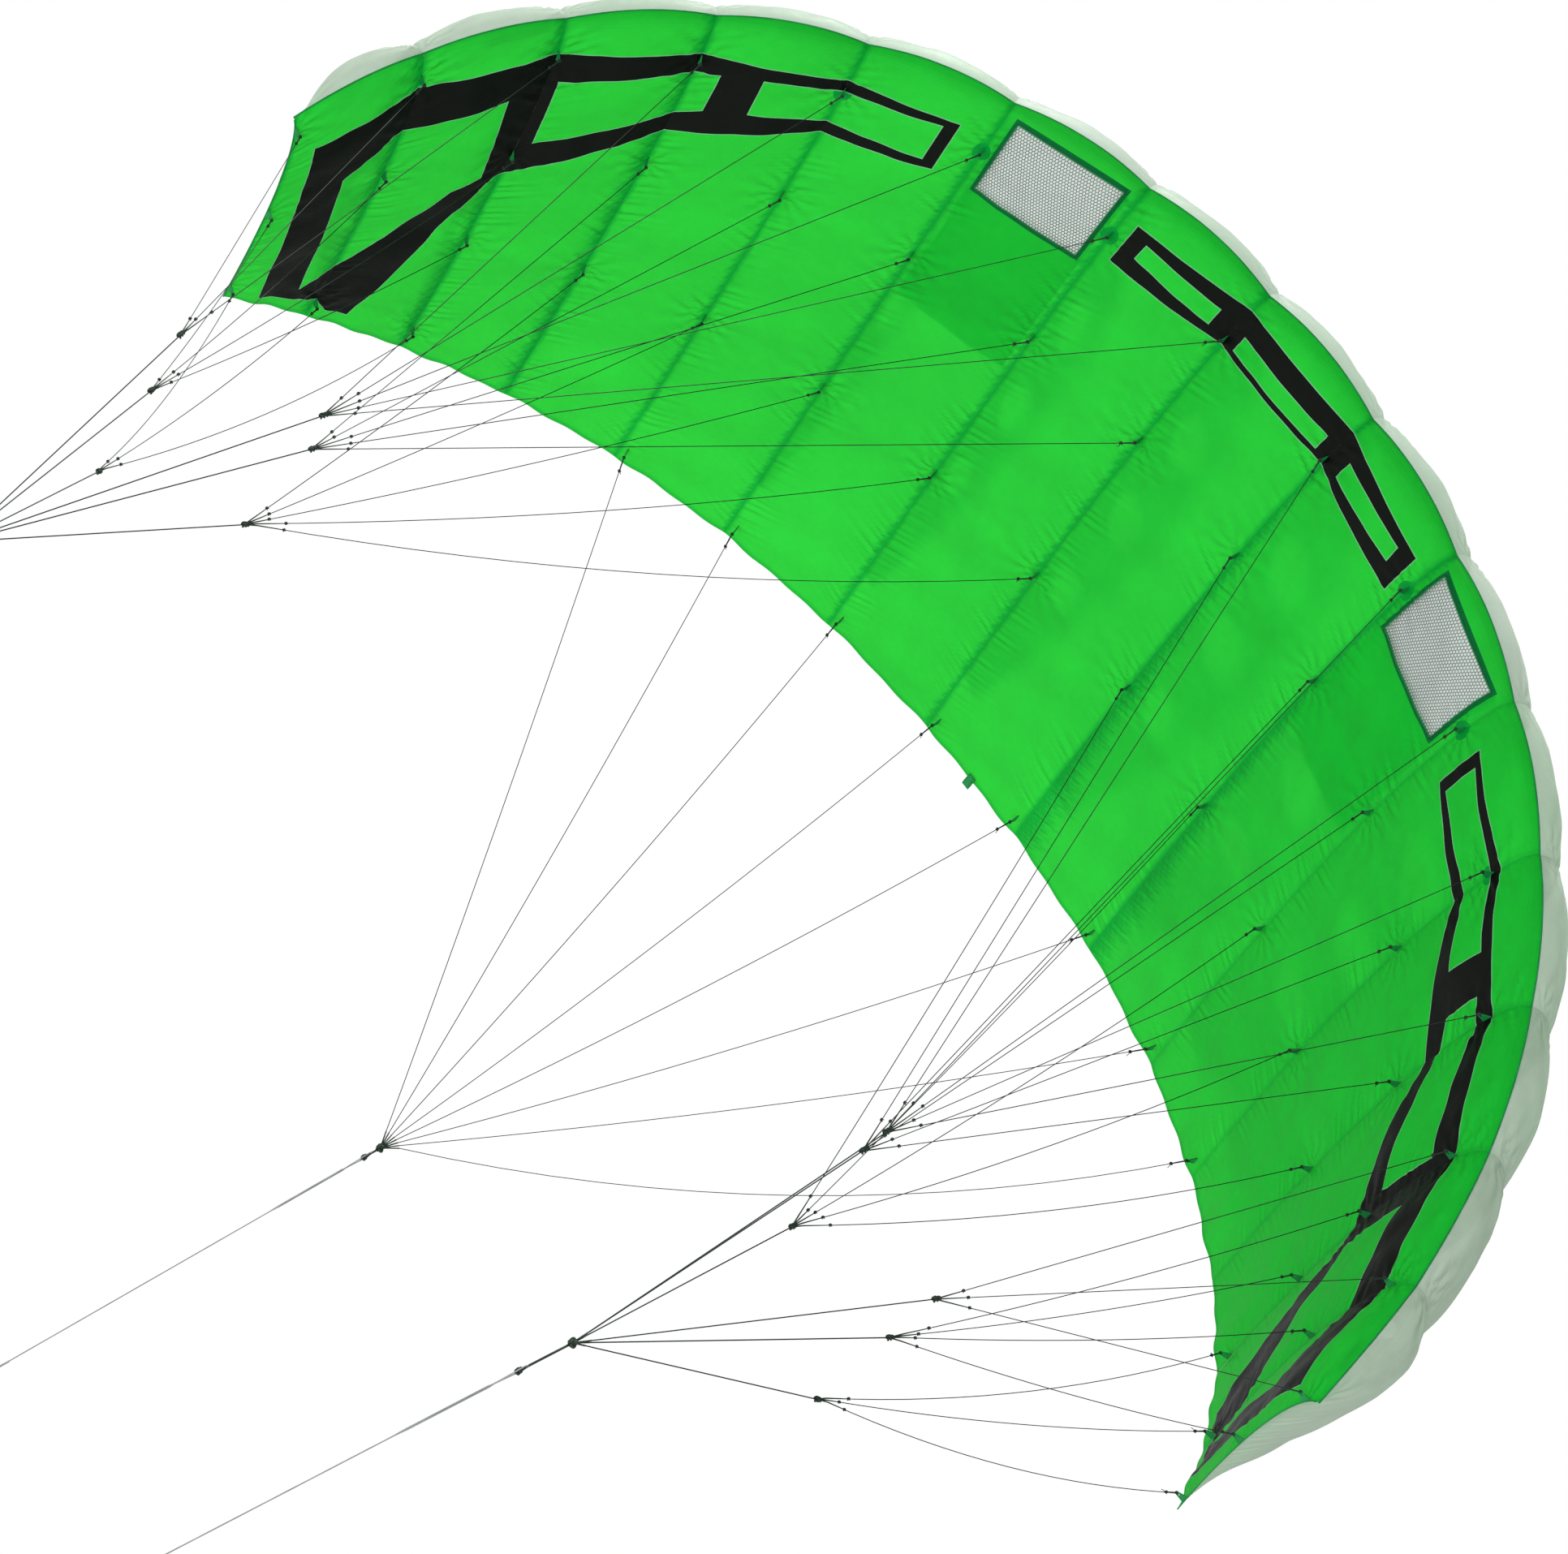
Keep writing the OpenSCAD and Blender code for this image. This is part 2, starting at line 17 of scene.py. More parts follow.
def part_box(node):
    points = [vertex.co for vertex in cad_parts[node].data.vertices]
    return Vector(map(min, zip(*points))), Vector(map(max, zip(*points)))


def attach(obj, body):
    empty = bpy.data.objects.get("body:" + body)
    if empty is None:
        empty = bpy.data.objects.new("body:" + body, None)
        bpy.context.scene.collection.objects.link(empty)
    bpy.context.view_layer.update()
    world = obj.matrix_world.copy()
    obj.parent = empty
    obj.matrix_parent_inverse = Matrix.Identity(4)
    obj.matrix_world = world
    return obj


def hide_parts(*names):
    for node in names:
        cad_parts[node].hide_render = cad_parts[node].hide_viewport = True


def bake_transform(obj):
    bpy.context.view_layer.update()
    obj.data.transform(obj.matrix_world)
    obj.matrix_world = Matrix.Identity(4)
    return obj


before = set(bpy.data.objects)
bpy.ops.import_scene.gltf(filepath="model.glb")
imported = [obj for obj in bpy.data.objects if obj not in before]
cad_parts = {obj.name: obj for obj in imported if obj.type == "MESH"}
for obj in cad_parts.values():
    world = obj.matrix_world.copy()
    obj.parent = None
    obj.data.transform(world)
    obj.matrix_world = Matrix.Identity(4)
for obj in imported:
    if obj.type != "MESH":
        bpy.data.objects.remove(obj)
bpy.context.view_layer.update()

MM = 0.001
HALVES = {"right": 1, "left": -1}


def side_name(half):
    return "right" if half > 0 else "left"


# ---- Camera, at the photograph's viewing angle ----

SENSOR_W = 36
IMAGE_W = 1932
FOCAL_PX = 7860.75
CAMERA_AT = Vector((2.409, -6.711, -5.636))
RIGHT = Vector((0.6053, -0.4535, 0.6542))
DOWN = Vector((0.7607, 0.5715, -0.3077))


def add_camera():
    data = bpy.data.cameras.new("camera")
    data.sensor_fit = "HORIZONTAL"
    data.sensor_width = SENSOR_W
    data.lens = SENSOR_W * FOCAL_PX / IMAGE_W
    data.clip_end = 60
    camera = bpy.data.objects.new("camera", data)
    back = RIGHT.cross(DOWN).normalized() * -1
    right = RIGHT.normalized()
    up = back.cross(right)
    turned = Matrix((right, up, back)).transposed().to_4x4()
    camera.matrix_world = Matrix.Translation(CAMERA_AT) @ turned
    bpy.context.scene.collection.objects.link(camera)
    bpy.context.scene.camera = camera


# ---- The canopy's driving dimensions, as in the part ----

FLAT_SPAN = 3.5
CENTRE_CHORD, TIP_CHORD = 1.2, 0.435
TIP_SWEEP = 0.607
TIP_ANGLE, TIP_TWIST, TIP_TOE_IN = (math.radians(a) for a in (80, 4.9, 6.1))
CELL_TAPER = 0.39
UPPER, LOWER = 1, -1
UPPER_CAMBER, LOWER_CAMBER = 0.11, 0.059
CELLS = 15
HALF_CELLS = CELLS // 2
NOSE_Y, NOSE_Z = -0.436, 2.276
HINGE_U = 0.86
BILLOW = {UPPER: 0.11, LOWER: 0.045}
BILLOW_NOSE = 0.07
TIP_PUFF, PUFF_FROM, PUFF_OVER = 1.4, 0.78, 0.153
SKIN_SEAM = 0.0002
RIB_INSET = 0.0006
FLAP_CELLS = 3
VENT_CELL = 2
VENT_U, VENT_V = (0.014, 0.128), (0.1, 0.9)
VALVE_U, VALVE_V, VALVE_DEPTH, VALVE_SLACK = (0.011, 0.36), (0.06, 0.94), 0.006, 0.0022

# Bridle knots of the right half, in millimetres
KNOTS = {
    "a": (703, -80, 768),
    "b": (692, -6, 778),
    "c": (697, 174, 738),
    "tip_a": (943, -20, 695),
    "tip_b": (932, 103, 690),
    "tip_rear": (920, 281, 663),
}
TOW_POINT = (744, -33, 83)
LINE_KNOT = (734, 0, 0)
BRAKE_POINT = (0, 1156, 1026)
PULL_DIR = (-0.111, 0.367, -0.924)
BRAKE_DIR = (0, 0.175, -0.985)
SLACK_DIR = (0.78, 0.15, -0.61)

# ---- The canopy's shape ----

ARC_STEPS = 60
_s = (np.arange(ARC_STEPS) + 0.5) / ARC_STEPS
_length = FLAT_SPAN / 2 / (1 - CELL_TAPER / 3) / ARC_STEPS * (1 - CELL_TAPER * _s**2)
_angle = TIP_ANGLE * _s**1.16
ARC_S = np.arange(ARC_STEPS + 1) / ARC_STEPS
ARC_X = np.r_[0, np.cumsum(_length * np.cos(_angle))]
ARC_Z = np.r_[0, np.cumsum(_length * np.sin(_angle))]


def stack(x, y, z):
    return np.stack(np.broadcast_arrays(x, y, z), -1).astype(float)


def unit(v):
    v = np.asarray(v, float)
    return v / np.linalg.norm(v, axis=-1, keepdims=True)


def turns(n):
    """n even angles once round a circle."""
    return np.arange(n) * 2 * math.pi / n


def rib_s(k):
    """Span share of rib k of the right half, k from 0 to 7."""
    return (2 * k + 1) / CELLS


def nose(s):
    a = np.abs(s)
    return stack(
        np.sign(s) * np.interp(a, ARC_S, ARC_X),
        NOSE_Y + TIP_SWEEP * a**2.1,
        NOSE_Z - np.interp(a, ARC_S, ARC_Z),
    )


def chord(s):
    return CENTRE_CHORD - (CENTRE_CHORD - TIP_CHORD) * np.abs(s) ** 2.14


def lean(s):
    return np.sign(s) * TIP_ANGLE * np.abs(s) ** 1.16


def up(s):
    return stack(np.sin(lean(s)), 0, np.cos(lean(s)))


def across(s):
    return stack(np.cos(lean(s)), 0, -np.sin(lean(s)))


def along(s):
    toe, twist = TIP_TOE_IN * s, TIP_TWIST * s * s
    ahead = stack(0 * toe, np.cos(toe), 0)
    return unit(ahead - across(s) * np.sin(toe)[..., None] - up(s) * np.sin(twist)[..., None])


def rib_side(s):
    """Unit vector square to a rib."""
    return unit(np.cross(along(s), up(s)))


def fullness(w):
    return 2.969 * w - 1.26 * w**2 - 3.516 * w**4 + 2.843 * w**6 - 1.036 * w**8


def fullness_slope(w):
    return (fullness(w + 0.001) - fullness(w)) / ((w + 0.001) ** 2 - w**2)


def closing(s):
    """0 up to the rib before the tip, and 1 at the tip, where the skins meet in a seam."""
    return np.maximum(0, 1 - (1 - np.abs(s)) * CELLS / 2)


def camber(s, side):
    if side == LOWER:
        return -LOWER_CAMBER + 0 * s
    return UPPER_CAMBER - (UPPER_CAMBER + LOWER_CAMBER) * closing(s)


def rib_point(s, w, side, inset=0.0):
    """A point of the rib's outline."""
    s, w = np.broadcast_arrays(np.asarray(s, float), np.asarray(w, float))
    seam = side * SKIN_SEAM * np.maximum(w**2, closing(s))
    rise = chord(s) * camber(s, side) * fullness(w) + seam
    point = nose(s) + along(s) * (chord(s) * w**2)[..., None] + up(s) * rise[..., None]
    return point - outward(s, w, side) * inset


def outward(s, w, side):
    s, w = np.broadcast_arrays(np.asarray(s, float), np.asarray(w, float))
    slope = np.abs(camber(s, side)) * fullness_slope(w)
    return unit(-along(s) * slope[..., None] + up(s) * side)


def cell_edges(cell):
    """Span shares of the two ribs of a cell; cell runs from -7 to 7."""
    return (2 * cell - 1) / CELLS, (2 * cell + 1) / CELLS


def cell_width(cell):
    s0, s1 = cell_edges(cell)
    return float(np.linalg.norm(nose(np.array(s1)) - nose(np.array(s0))))


def cell_chord(cell):
    return float(chord(sum(cell_edges(cell)) / 2))


def cell_point(cell, w, v, side, depth=0.0):
    """A point of a smooth, billowing cell, depth inside its skin."""
    s0, s1 = cell_edges(cell)
    w, v = np.broadcast_arrays(np.asarray(w, float), np.asarray(v, float))
    puff = 1 + TIP_PUFF * max(0, (abs(s0 + s1) / 2 - PUFF_FROM) / PUFF_OVER) * (side == UPPER)
    share = BILLOW_NOSE + (BILLOW[side] * puff - BILLOW_NOSE) * np.minimum(1, w / 0.3)
    rise = 4 * v * (1 - v) * cell_width(cell) * share * np.maximum(0, 1 - w**2) ** 0.8
    a, b = rib_point(s0, w, side), rib_point(s1, w, side)
    return a + (b - a) * v[..., None] + outward((s0 + s1) / 2, w, side) * (rise - depth)[..., None]


# Length along the profile, in chords, against w
_w = np.linspace(0, 1, 801)
_profile = {
    side: np.c_[_w**2, depth * fullness(_w)]
    for side, depth in ((UPPER, UPPER_CAMBER), (LOWER, LOWER_CAMBER))
}
PROFILE = {
    side: np.r_[0, np.cumsum(np.linalg.norm(np.diff(xy, axis=0), axis=1))]
    for side, xy in _profile.items()
}


def girth(u, side):
    return np.interp(np.sqrt(u), _w, PROFILE[side])


def w_at(q, side):
    return np.interp(q, PROFILE[side], _w)


# ---- Tabs: where the lines are tied ----

TAB_LIFT, TAB_END, LINE_GAP, BRAKE_GAP = 0.0004, 0.016, 0.0013, 0.002
BRAKE_TAB_W, BRAKE_TAB_EDGE = 0.985, 0.016
TAB_RIBS = {"a": range(8), "b": range(8), "c": range(6), "rear": range(5, 8)}


def tab_u(row, s):
    return {"a": 0.074 * (1 - 0.45 * s**4), "b": 0.287 + 0.173 * s**4, "c": 0.606, "rear": 0.93}[row]


def tab_tip(row, s):
    w = math.sqrt(tab_u(row, s))
    return rib_point(s, w, LOWER) + outward(s, w, LOWER) * (TAB_LIFT + TAB_END + LINE_GAP)


def brake_root(cell, v):
    return cell_point(cell, BRAKE_TAB_W, v, LOWER)


def brake_out(cell):
    return outward(sum(cell_edges(cell)) / 2, BRAKE_TAB_W, LOWER)


def brake_tip(k):
    root = brake_root(k, 1 - BRAKE_TAB_EDGE / cell_width(k))
    return root + brake_out(k) * (TAB_LIFT + TAB_END + BRAKE_GAP)


def on_side(p, half):
    return np.asarray(p, float) * (half, 1, 1)


# ---- Creases of the cloth ----

PUCKER_AT, PUCKER_RISE = 0.016, 0.0017
FAN_REACH, FAN_RISE, FAN_RAYS = 0.06, 0.002, 11
SWELL_RISE = 0.0022
EDGE_WAVE = 0.003


def ripples(t, seed, lengths):
    """Sum of sine waves of these lengths with fixed but irregular phases, about -1 to 1."""
    rng = np.random.default_rng(seed)
    total = 0
    for length in lengths:
        total = total + rng.uniform(0.6, 1) * np.sin(2 * math.pi * (t / length + rng.uniform()))
    return total / math.sqrt(len(lengths))


def pucker(y, d, seed):
    """Short creases square to a seam: y along it, d the distance from it."""
    near = d / PUCKER_AT * np.exp(1 - d / PUCKER_AT)
    fine = ripples(y + 0.4 * d, seed, (0.015, 0.019, 0.026, 0.035))
    patchy = np.clip(0.55 + 0.6 * ripples(y, seed + 1, (0.09, 0.17, 0.31)), 0, 1.2)
    return near * fine * patchy


def tab_fan(y, d, seed):
    """Creases that run out from a tab at the origin."""
    r = np.hypot(y, d) + 1e-6
    rays = np.sin(FAN_RAYS * np.arctan2(y, d) + ripples(r, seed, (0.04, 0.07)))
    return rays * np.exp(-r / FAN_REACH) * np.minimum(1, r / 0.03) * np.minimum(1, d / 0.006)


def creases(cell, u, v, side):
    """How far the creases lift the skin at these places."""
    s0, s1 = cell_edges(cell)
    width, length = cell_width(cell), cell_chord(cell)
    y = girth(u, side) * length
    total = 0
    for edge, s in ((v, s0), (1 - v, s1)):
        seed = 40 * (int(round(s * CELLS)) + CELLS + 1) + 3 * side
        total = total + PUCKER_RISE * pucker(y, edge * width, seed)
        if side == UPPER:
            total = total + 1.4 * FAN_RISE * tab_fan(y - 0.015, edge * width, seed)
        else:
            k = (int(round(abs(s) * CELLS)) - 1) // 2
            for n, row in enumerate(r for r, ribs in TAB_RIBS.items() if k in ribs):
                tab_y = girth(tab_u(row, abs(s)), side) * length
                total = total + FAN_RISE * tab_fan(y - tab_y, edge * width, seed + n)
    slow = ripples(y + 0.3 * v * width, 700 + cell + side, (0.13, 0.21, 0.37))
    slow = slow + 0.6 * ripples(v * width - 0.4 * y, 900 + cell + side, (0.09, 0.16))
    total = total + SWELL_RISE * slow * 4 * v * (1 - v)
    return total * np.clip((1 - u) / 0.05, 0, 1) * np.clip(u / 0.01, 0.15, 1)


def painted_crease_shade(cell, u, v, side):
    """How steep the creases are along the chord, from 0 to 1 with flat cloth at a half; the cloth paints
    shade by it where a crease sinks toward the trailing edge, and light where it rises.
    """
    ahead = w_at(girth(u, side) + 0.002 / cell_chord(cell), side) ** 2
    rise = creases(cell, np.minimum(ahead, 1), v, side) - creases(cell, u, v, side)
    return np.clip(0.5 + 0.9 * rise / 0.002, 0, 1)


def skin(cell, u, v, side, lift=0.0):
    """Points of a creased skin, lift outside it."""
    u, v = np.broadcast_arrays(np.asarray(u, float), np.asarray(v, float))
    s0, s1 = cell_edges(cell)
    smooth = cell_point(cell, np.sqrt(u), v, side, -lift - creases(cell, u, v, side))
    s = s0 + (s1 - s0) * v
    wave = EDGE_WAVE * ripples(s, 5, (0.05, 0.083, 0.13)) * u**6
    return smooth + up(s) * wave[..., None]


# ---- Colour blocks of the lower skin ----
# Corners are (cells from the middle of the span, share of the chord) on the right half.

CENTRE_BLOCK = [(-1.39, 0.036), (-0.5, 0.021), (0.5, 0.021), (1.39, 0.036),
                (1.4, 0.1), (0.5, 0.082), (-0.5, 0.082), (-1.4, 0.1)]
CENTRE_GAPS = [
    [(-0.41, 0.048), (0.41, 0.048), (0.41, 0.074), (-0.41, 0.074)],
    [(0.64, 0.044), (1.27, 0.047), (1.28, 0.073), (0.64, 0.072)],
    [(-1.27, 0.047), (-0.64, 0.044), (-0.64, 0.072), (-1.28, 0.073)],
]
TIP_BLOCK = [(2.72, 0.046), (3.5, 0.052), (4.5, 0.058), (5.6, 0.062), (6.5, 0.08), (7.3, 0.147),
             (7.13, 0.96), (6.58, 0.93), (6.5, 0.92), (6.37, 0.955), (6.15, 0.95), (5.8, 0.57),
             (5.58, 0.41), (5.35, 0.365), (4.5, 0.23), (3.5, 0.152), (2.72, 0.13)]
TIP_GAPS = [
    [(6.9, 0.36), (6.55, 0.225), (5.75, 0.163), (5.67, 0.4), (5.87, 0.445), (6.57, 0.807), (6.75, 0.89)],
    [(5.42, 0.128), (4.32, 0.088), (4.32, 0.167), (5.4, 0.297)],
    [(4.04, 0.077), (3.52, 0.071), (2.81, 0.057), (2.81, 0.12), (3.52, 0.131), (4.03, 0.15)],
]
PATCH_R = 0.016
EDGING = 0.0017
BINDING = 0.0075


def mirrored(outline):
    return [(-c, u) for c, u in reversed(outline)]


BLOCKS = [CENTRE_BLOCK, TIP_BLOCK, mirrored(TIP_BLOCK)]
GAPS = CENTRE_GAPS + TIP_GAPS + [mirrored(g) for g in TIP_GAPS]


def to_cell(cell, outline):
    """An outline's corners in a cell's own flat metres."""
    c, u = np.array(outline, float).T
    return np.c_[(c - cell + 0.5) * cell_width(cell), girth(u, LOWER) * cell_chord(cell)]


def inside(points, outline):
    x, y = points.T
    hit = np.zeros(len(points), bool)
    for (x0, y0), (x1, y1) in zip(outline, np.roll(outline, -1, 0)):
        if y0 != y1:
            hit ^= ((y0 > y) != (y1 > y)) & (x < x0 + (y - y0) * (x1 - x0) / (y1 - y0))
    return hit


def edge_distance(points, outline):
    best = np.full(len(points), 9.0)
    for a, b in zip(outline, np.roll(outline, -1, 0)):
        t = np.clip((points - a) @ (b - a) / max(1e-12, (b - a) @ (b - a)), 0, 1)
        best = np.minimum(best, np.linalg.norm(points - a - t[:, None] * (b - a), axis=1))
    return best


def offset(outline, by):
    """The outline moved by this much along its own left, with sharp corners."""
    ahead = unit(np.roll(outline, -1, 0) - outline)
    behind = np.roll(ahead, 1, 0)
    left = np.c_[-ahead[:, 1], ahead[:, 0]]
    left_behind = np.c_[-behind[:, 1], behind[:, 0]]
    middle = unit(left + left_behind)
    return outline + middle * (by / np.maximum(0.35, (middle * left).sum(1)))[:, None]


def clipped(a, b, width, length):
    """The part of segment a-b inside a width x length rectangle, or None."""
    t0, t1, d = 0.0, 1.0, b - a
    for axis, most in ((0, width), (1, length)):
        if abs(d[axis]) < 1e-12:
            if not 0 <= a[axis] <= most:
                return None
            continue
        low, high = sorted(((0 - a[axis]) / d[axis], (most - a[axis]) / d[axis]))
        t0, t1 = max(t0, low), min(t1, high)
    return (a + d * t0, a + d * t1) if t1 - t0 > 1e-6 else None


# ---- Meshes ----


def add_mesh(name, points, faces, materials, kinds=None, uv=None):
    mesh = bpy.data.meshes.new(name)
    mesh.from_pydata([tuple(p) for p in np.asarray(points, float).tolist()], [], faces)
    for material in materials:
        mesh.materials.append(material)
    if kinds is not None:
        mesh.polygons.foreach_set("material_index", np.asarray(kinds, np.int32))
    mesh.polygons.foreach_set("use_smooth", np.full(len(mesh.polygons), True))
    if uv is not None:
        layer = mesh.uv_layers.new(name="cloth")
        corner = np.zeros(len(mesh.loops), np.int32)
        mesh.loops.foreach_get("vertex_index", corner)
        layer.data.foreach_set("uv", np.asarray(uv, np.float32)[corner].ravel())
    mesh.update()
    obj = bpy.data.objects.new(name, mesh)
    bpy.context.scene.collection.objects.link(obj)
    return obj


def add_attribute(obj, name, values):
    attribute = obj.data.attributes.new(name, "FLOAT", "POINT")
    attribute.data.foreach_set("value", np.asarray(values, np.float32))


def grid_faces(rows, columns, flip=False):
    """Quads of a grid of points that was laid out row by row."""
    quads = [(i * columns + j, i * columns + j + 1, (i + 1) * columns + j + 1, (i + 1) * columns + j)
             for i in range(rows - 1) for j in range(columns - 1)]
    return [(q[0], q[3], q[2], q[1]) for q in quads] if flip else quads


def ring_edges(first, n):
    return [(first + i, first + (i + 1) % n) for i in range(n)]


def triangulated(points, edges, gap=1e-6):
    """Flat points and triangles that keep these edges."""
    flat, _, faces, *_ = delaunay_2d_cdt([Vector(p) for p in points], edges, [], 0, gap)
    return np.array([tuple(p) for p in flat]), faces


def tie(obj, body, slot, *nodes):
    """Ties a piece to its body, and hides the CAD nodes that it replaces; slot is not used."""
    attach(obj, body)
    if nodes:
        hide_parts(*nodes)
    return obj


def tube_parts(path, radius, sides=8):
    """Points and faces of a tube along a path, capped."""
    path = np.asarray(path, float)
    radius = np.broadcast_to(radius, len(path))
    ahead = unit(np.gradient(path, axis=0))
    ref = np.eye(3)[np.argmin(np.abs(ahead[0]))]
    points, faces = [], []
    for i, (p, t) in enumerate(zip(path, ahead)):
        a = unit(np.cross(t, ref))
        ref = np.cross(a, t)
        turn = turns(sides)
        round_it = np.outer(np.cos(turn), a) + np.outer(np.sin(turn), np.cross(t, a))
        points.append(p + radius[i] * round_it)
    for i in range(len(path) - 1):
        for k in range(sides):
            k1 = (k + 1) % sides
            faces.append((i * sides + k, i * sides + k1, (i + 1) * sides + k1, (i + 1) * sides + k))
    faces.append(tuple(range(sides - 1, -1, -1)))
    faces.append(tuple((len(path) - 1) * sides + k for k in range(sides)))
    return np.concatenate(points), faces


def joined(parts):
    points, faces, start = [], [], 0
    for p, f in parts:
        points.append(p)
        faces += [tuple(i + start for i in face) for face in f]
        start += len(p)
    return np.concatenate(points), faces


def add_parts(name, parts, material, body, slot, *nodes):
    points, faces = joined(parts)
    return tie(add_mesh(name, points, faces, [material]), body, slot, *nodes)


def knot_parts(at, ahead, size):
    """A small overhand knot: a cord that winds three times round its own middle."""
    t = np.linspace(0, 2 * math.pi, 31)[:-1]
    ahead = unit(ahead)
    a = unit(np.cross(ahead, np.eye(3)[np.argmin(np.abs(ahead))]))
    b = np.cross(ahead, a)
    ring = size * (0.62 + 0.38 * np.cos(3 * t))
    path = (at + np.outer(ring * np.cos(2 * t), a) + np.outer(ring * np.sin(2 * t), b)
            + np.outer(0.8 * size * np.sin(3 * t), ahead))
    return tube_parts(np.r_[path, path[:1]], size * 0.42, 6)


# ---- Cords ----

BRIDLE_D, MAIN_D, SLEEVE_D, SLEEVE_L = 0.0014, 0.002, 0.0026, 0.028
FAN, TOW_FAN = 0.024, 0.032
SAG_C = {1: (6, 8, 12, 18, 24), -1: (40, 20, 10, 6, 6)}
FANS = [
    ("a", "a", range(0, 5), None),
    ("b", "b", range(0, 5), None),
    ("c", "c", range(0, 5), SAG_C),
    ("tip_a", "a", range(5, 8), None),
    ("tip_b", "b", range(5, 8), (10, 10, 10)),
    ("tip_b", "c", range(5, 6), (10,)),
    ("tip_rear", "rear", range(5, 8), (28, 14, 30)),
]
SAG_BRAKE, SAG_BRAKE_SLACK = 14, 76
POINTS_ON_A_LINE = 17


def at(p, half=1):
    return on_side(np.array(p) * MM, half)


def toward(a, b, distance):
    return a + unit(b - a) * distance


def route(a, b, sag=0.0):
    """Points from a to b; a slack line hangs in a shallow bow of this many millimetres."""
    t = np.linspace(0, 1, POINTS_ON_A_LINE)[:, None]
    return a + (b - a) * t + np.array(SLACK_DIR) * sag * MM * 4 * t * (1 - t)


def path_length(points):
    return float(np.linalg.norm(np.diff(points, axis=0), axis=1).sum())


def add_line(name, points, diameter, material, body, slot):
    data = bpy.data.curves.new(name, "CURVE")
    data.dimensions = "3D"
    data.bevel_depth = diameter / 2
    data.bevel_resolution = 2
    data.use_fill_caps = True
    spline = data.splines.new("POLY")
    spline.points.add(len(points) - 1)
    for p, co in zip(spline.points, points):
        p.co = (*[float(x) for x in co], 1)
    spline.use_smooth = True
    data.materials.append(material)
    obj = bpy.data.objects.new(name, data)
    bpy.context.scene.collection.objects.link(obj)
    return tie(obj, body, slot)


def declare(cord, points, diameter):
    tuple(points[0])
    path_length(points)


def bridle_lines(half):
    """(name, knot, points) of every line between the tabs and the knots of one half."""
    name = side_name(half)
    for knot, row, ribs, sags in FANS:
        for n, k in enumerate(ribs):
            sag = sags[half] if isinstance(sags, dict) else sags
            tip = on_side(tab_tip(row, rib_s(k)), half)
            end = toward(at(KNOTS[knot], half), tip, FAN)
            yield f"bridle_{name}_{row}{k + 1}", knot, route(tip, end, sag[n] if sag else 0)


def main_lines(half):
    name = side_name(half)
    tow = at(TOW_POINT, half)
    for knot, p in KNOTS.items():
        top = at(p, half)
        yield f"main_{name}_{knot}", route(top, toward(tow, top, TOW_FAN))


def brake_branches(half):
    name = side_name(half)
    for k in range(4):
        tip = on_side(brake_tip(k), half)
        slack = SAG_BRAKE_SLACK if half > 0 and k == FLAP_CELLS else SAG_BRAKE
        yield f"brake_branch_{name}_{k + 1}", route(tip, toward(at(BRAKE_POINT), tip, TOW_FAN), slack)


# ---- Materials ----


class Nodes:
    """A material's node tree, built by short calls."""

    def __init__(self, name):
        self.material = bpy.data.materials.new(name)
        self.material.use_nodes = True
        self.tree = self.material.node_tree
        self.tree.nodes.clear()
        self.uv = self.add("ShaderNodeUVMap")
        self.uv.uv_map = "cloth"
        self.place = self.add("ShaderNodeTexCoord").outputs["Object"]

    def add(self, kind, **values):
        node = self.tree.nodes.new(kind)
        for key, value in values.items():
            setattr(node, key, value)
        return node

    def put(self, socket, value):
        if hasattr(value, "is_output"):
            self.tree.links.new(value, socket)
        else:
            socket.default_value = (*value, 1) if isinstance(value, tuple) and len(value) == 3 else value

    def math(self, operation, *values, clamp=False):
        node = self.add("ShaderNodeMath", operation=operation, use_clamp=clamp)
        for socket, value in zip(node.inputs, values):
            self.put(socket, value)
        return node.outputs[0]

    def noise(self, place, scale, detail=3.0, roughness=0.55):
        node = self.add("ShaderNodeTexNoise")
        self.put(node.inputs["Vector"], place)
        node.inputs["Scale"].default_value = scale
        node.inputs["Detail"].default_value = detail
        node.inputs["Roughness"].default_value = roughness
        return node.outputs["Fac"]

    def mix(self, share, a, b, blend="MIX"):
        node = self.add("ShaderNodeMix", data_type="RGBA", blend_type=blend)
        self.put(node.inputs["Factor"], share)
        self.put(node.inputs[6], a)
        self.put(node.inputs[7], b)
        return node.outputs[2]

    def range(self, value, low, high, to_low=0.0, to_high=1.0):
        node = self.add("ShaderNodeMapRange")
        for socket, v in zip(node.inputs, (value, low, high, to_low, to_high)):
            self.put(socket, v)
        return node.outputs[0]

    def attribute(self, name):
        return self.add("ShaderNodeAttribute", attribute_name=name).outputs["Fac"]

    def bump(self, height, strength, distance, below=None):
        node = self.add("ShaderNodeBump")
        node.inputs["Strength"].default_value = strength
        node.inputs["Distance"].default_value = distance
        self.put(node.inputs["Height"], height)
        if below is not None:
            self.put(node.inputs["Normal"], below)
        return node.outputs[0]

    def ripstop(self, pitch, line):
        """1 on the heavy threads of a ripstop weave, with the cloth laid flat in metres."""
        parts = self.add("ShaderNodeSeparateXYZ")
        self.put(parts.inputs[0], self.uv.outputs[0])
        found = []
        for axis in (0, 1):
            turn = self.math("FRACT", self.math("DIVIDE", parts.outputs[axis], pitch))
            off = self.math("ABSOLUTE", self.math("SUBTRACT", turn, 0.5))
            found.append(self.range(off, line, 0.0))
        return self.math("MAXIMUM", *found)

    def output(self, shader):
        self.put(self.add("ShaderNodeOutputMaterial").inputs["Surface"], shader)
        return self.material


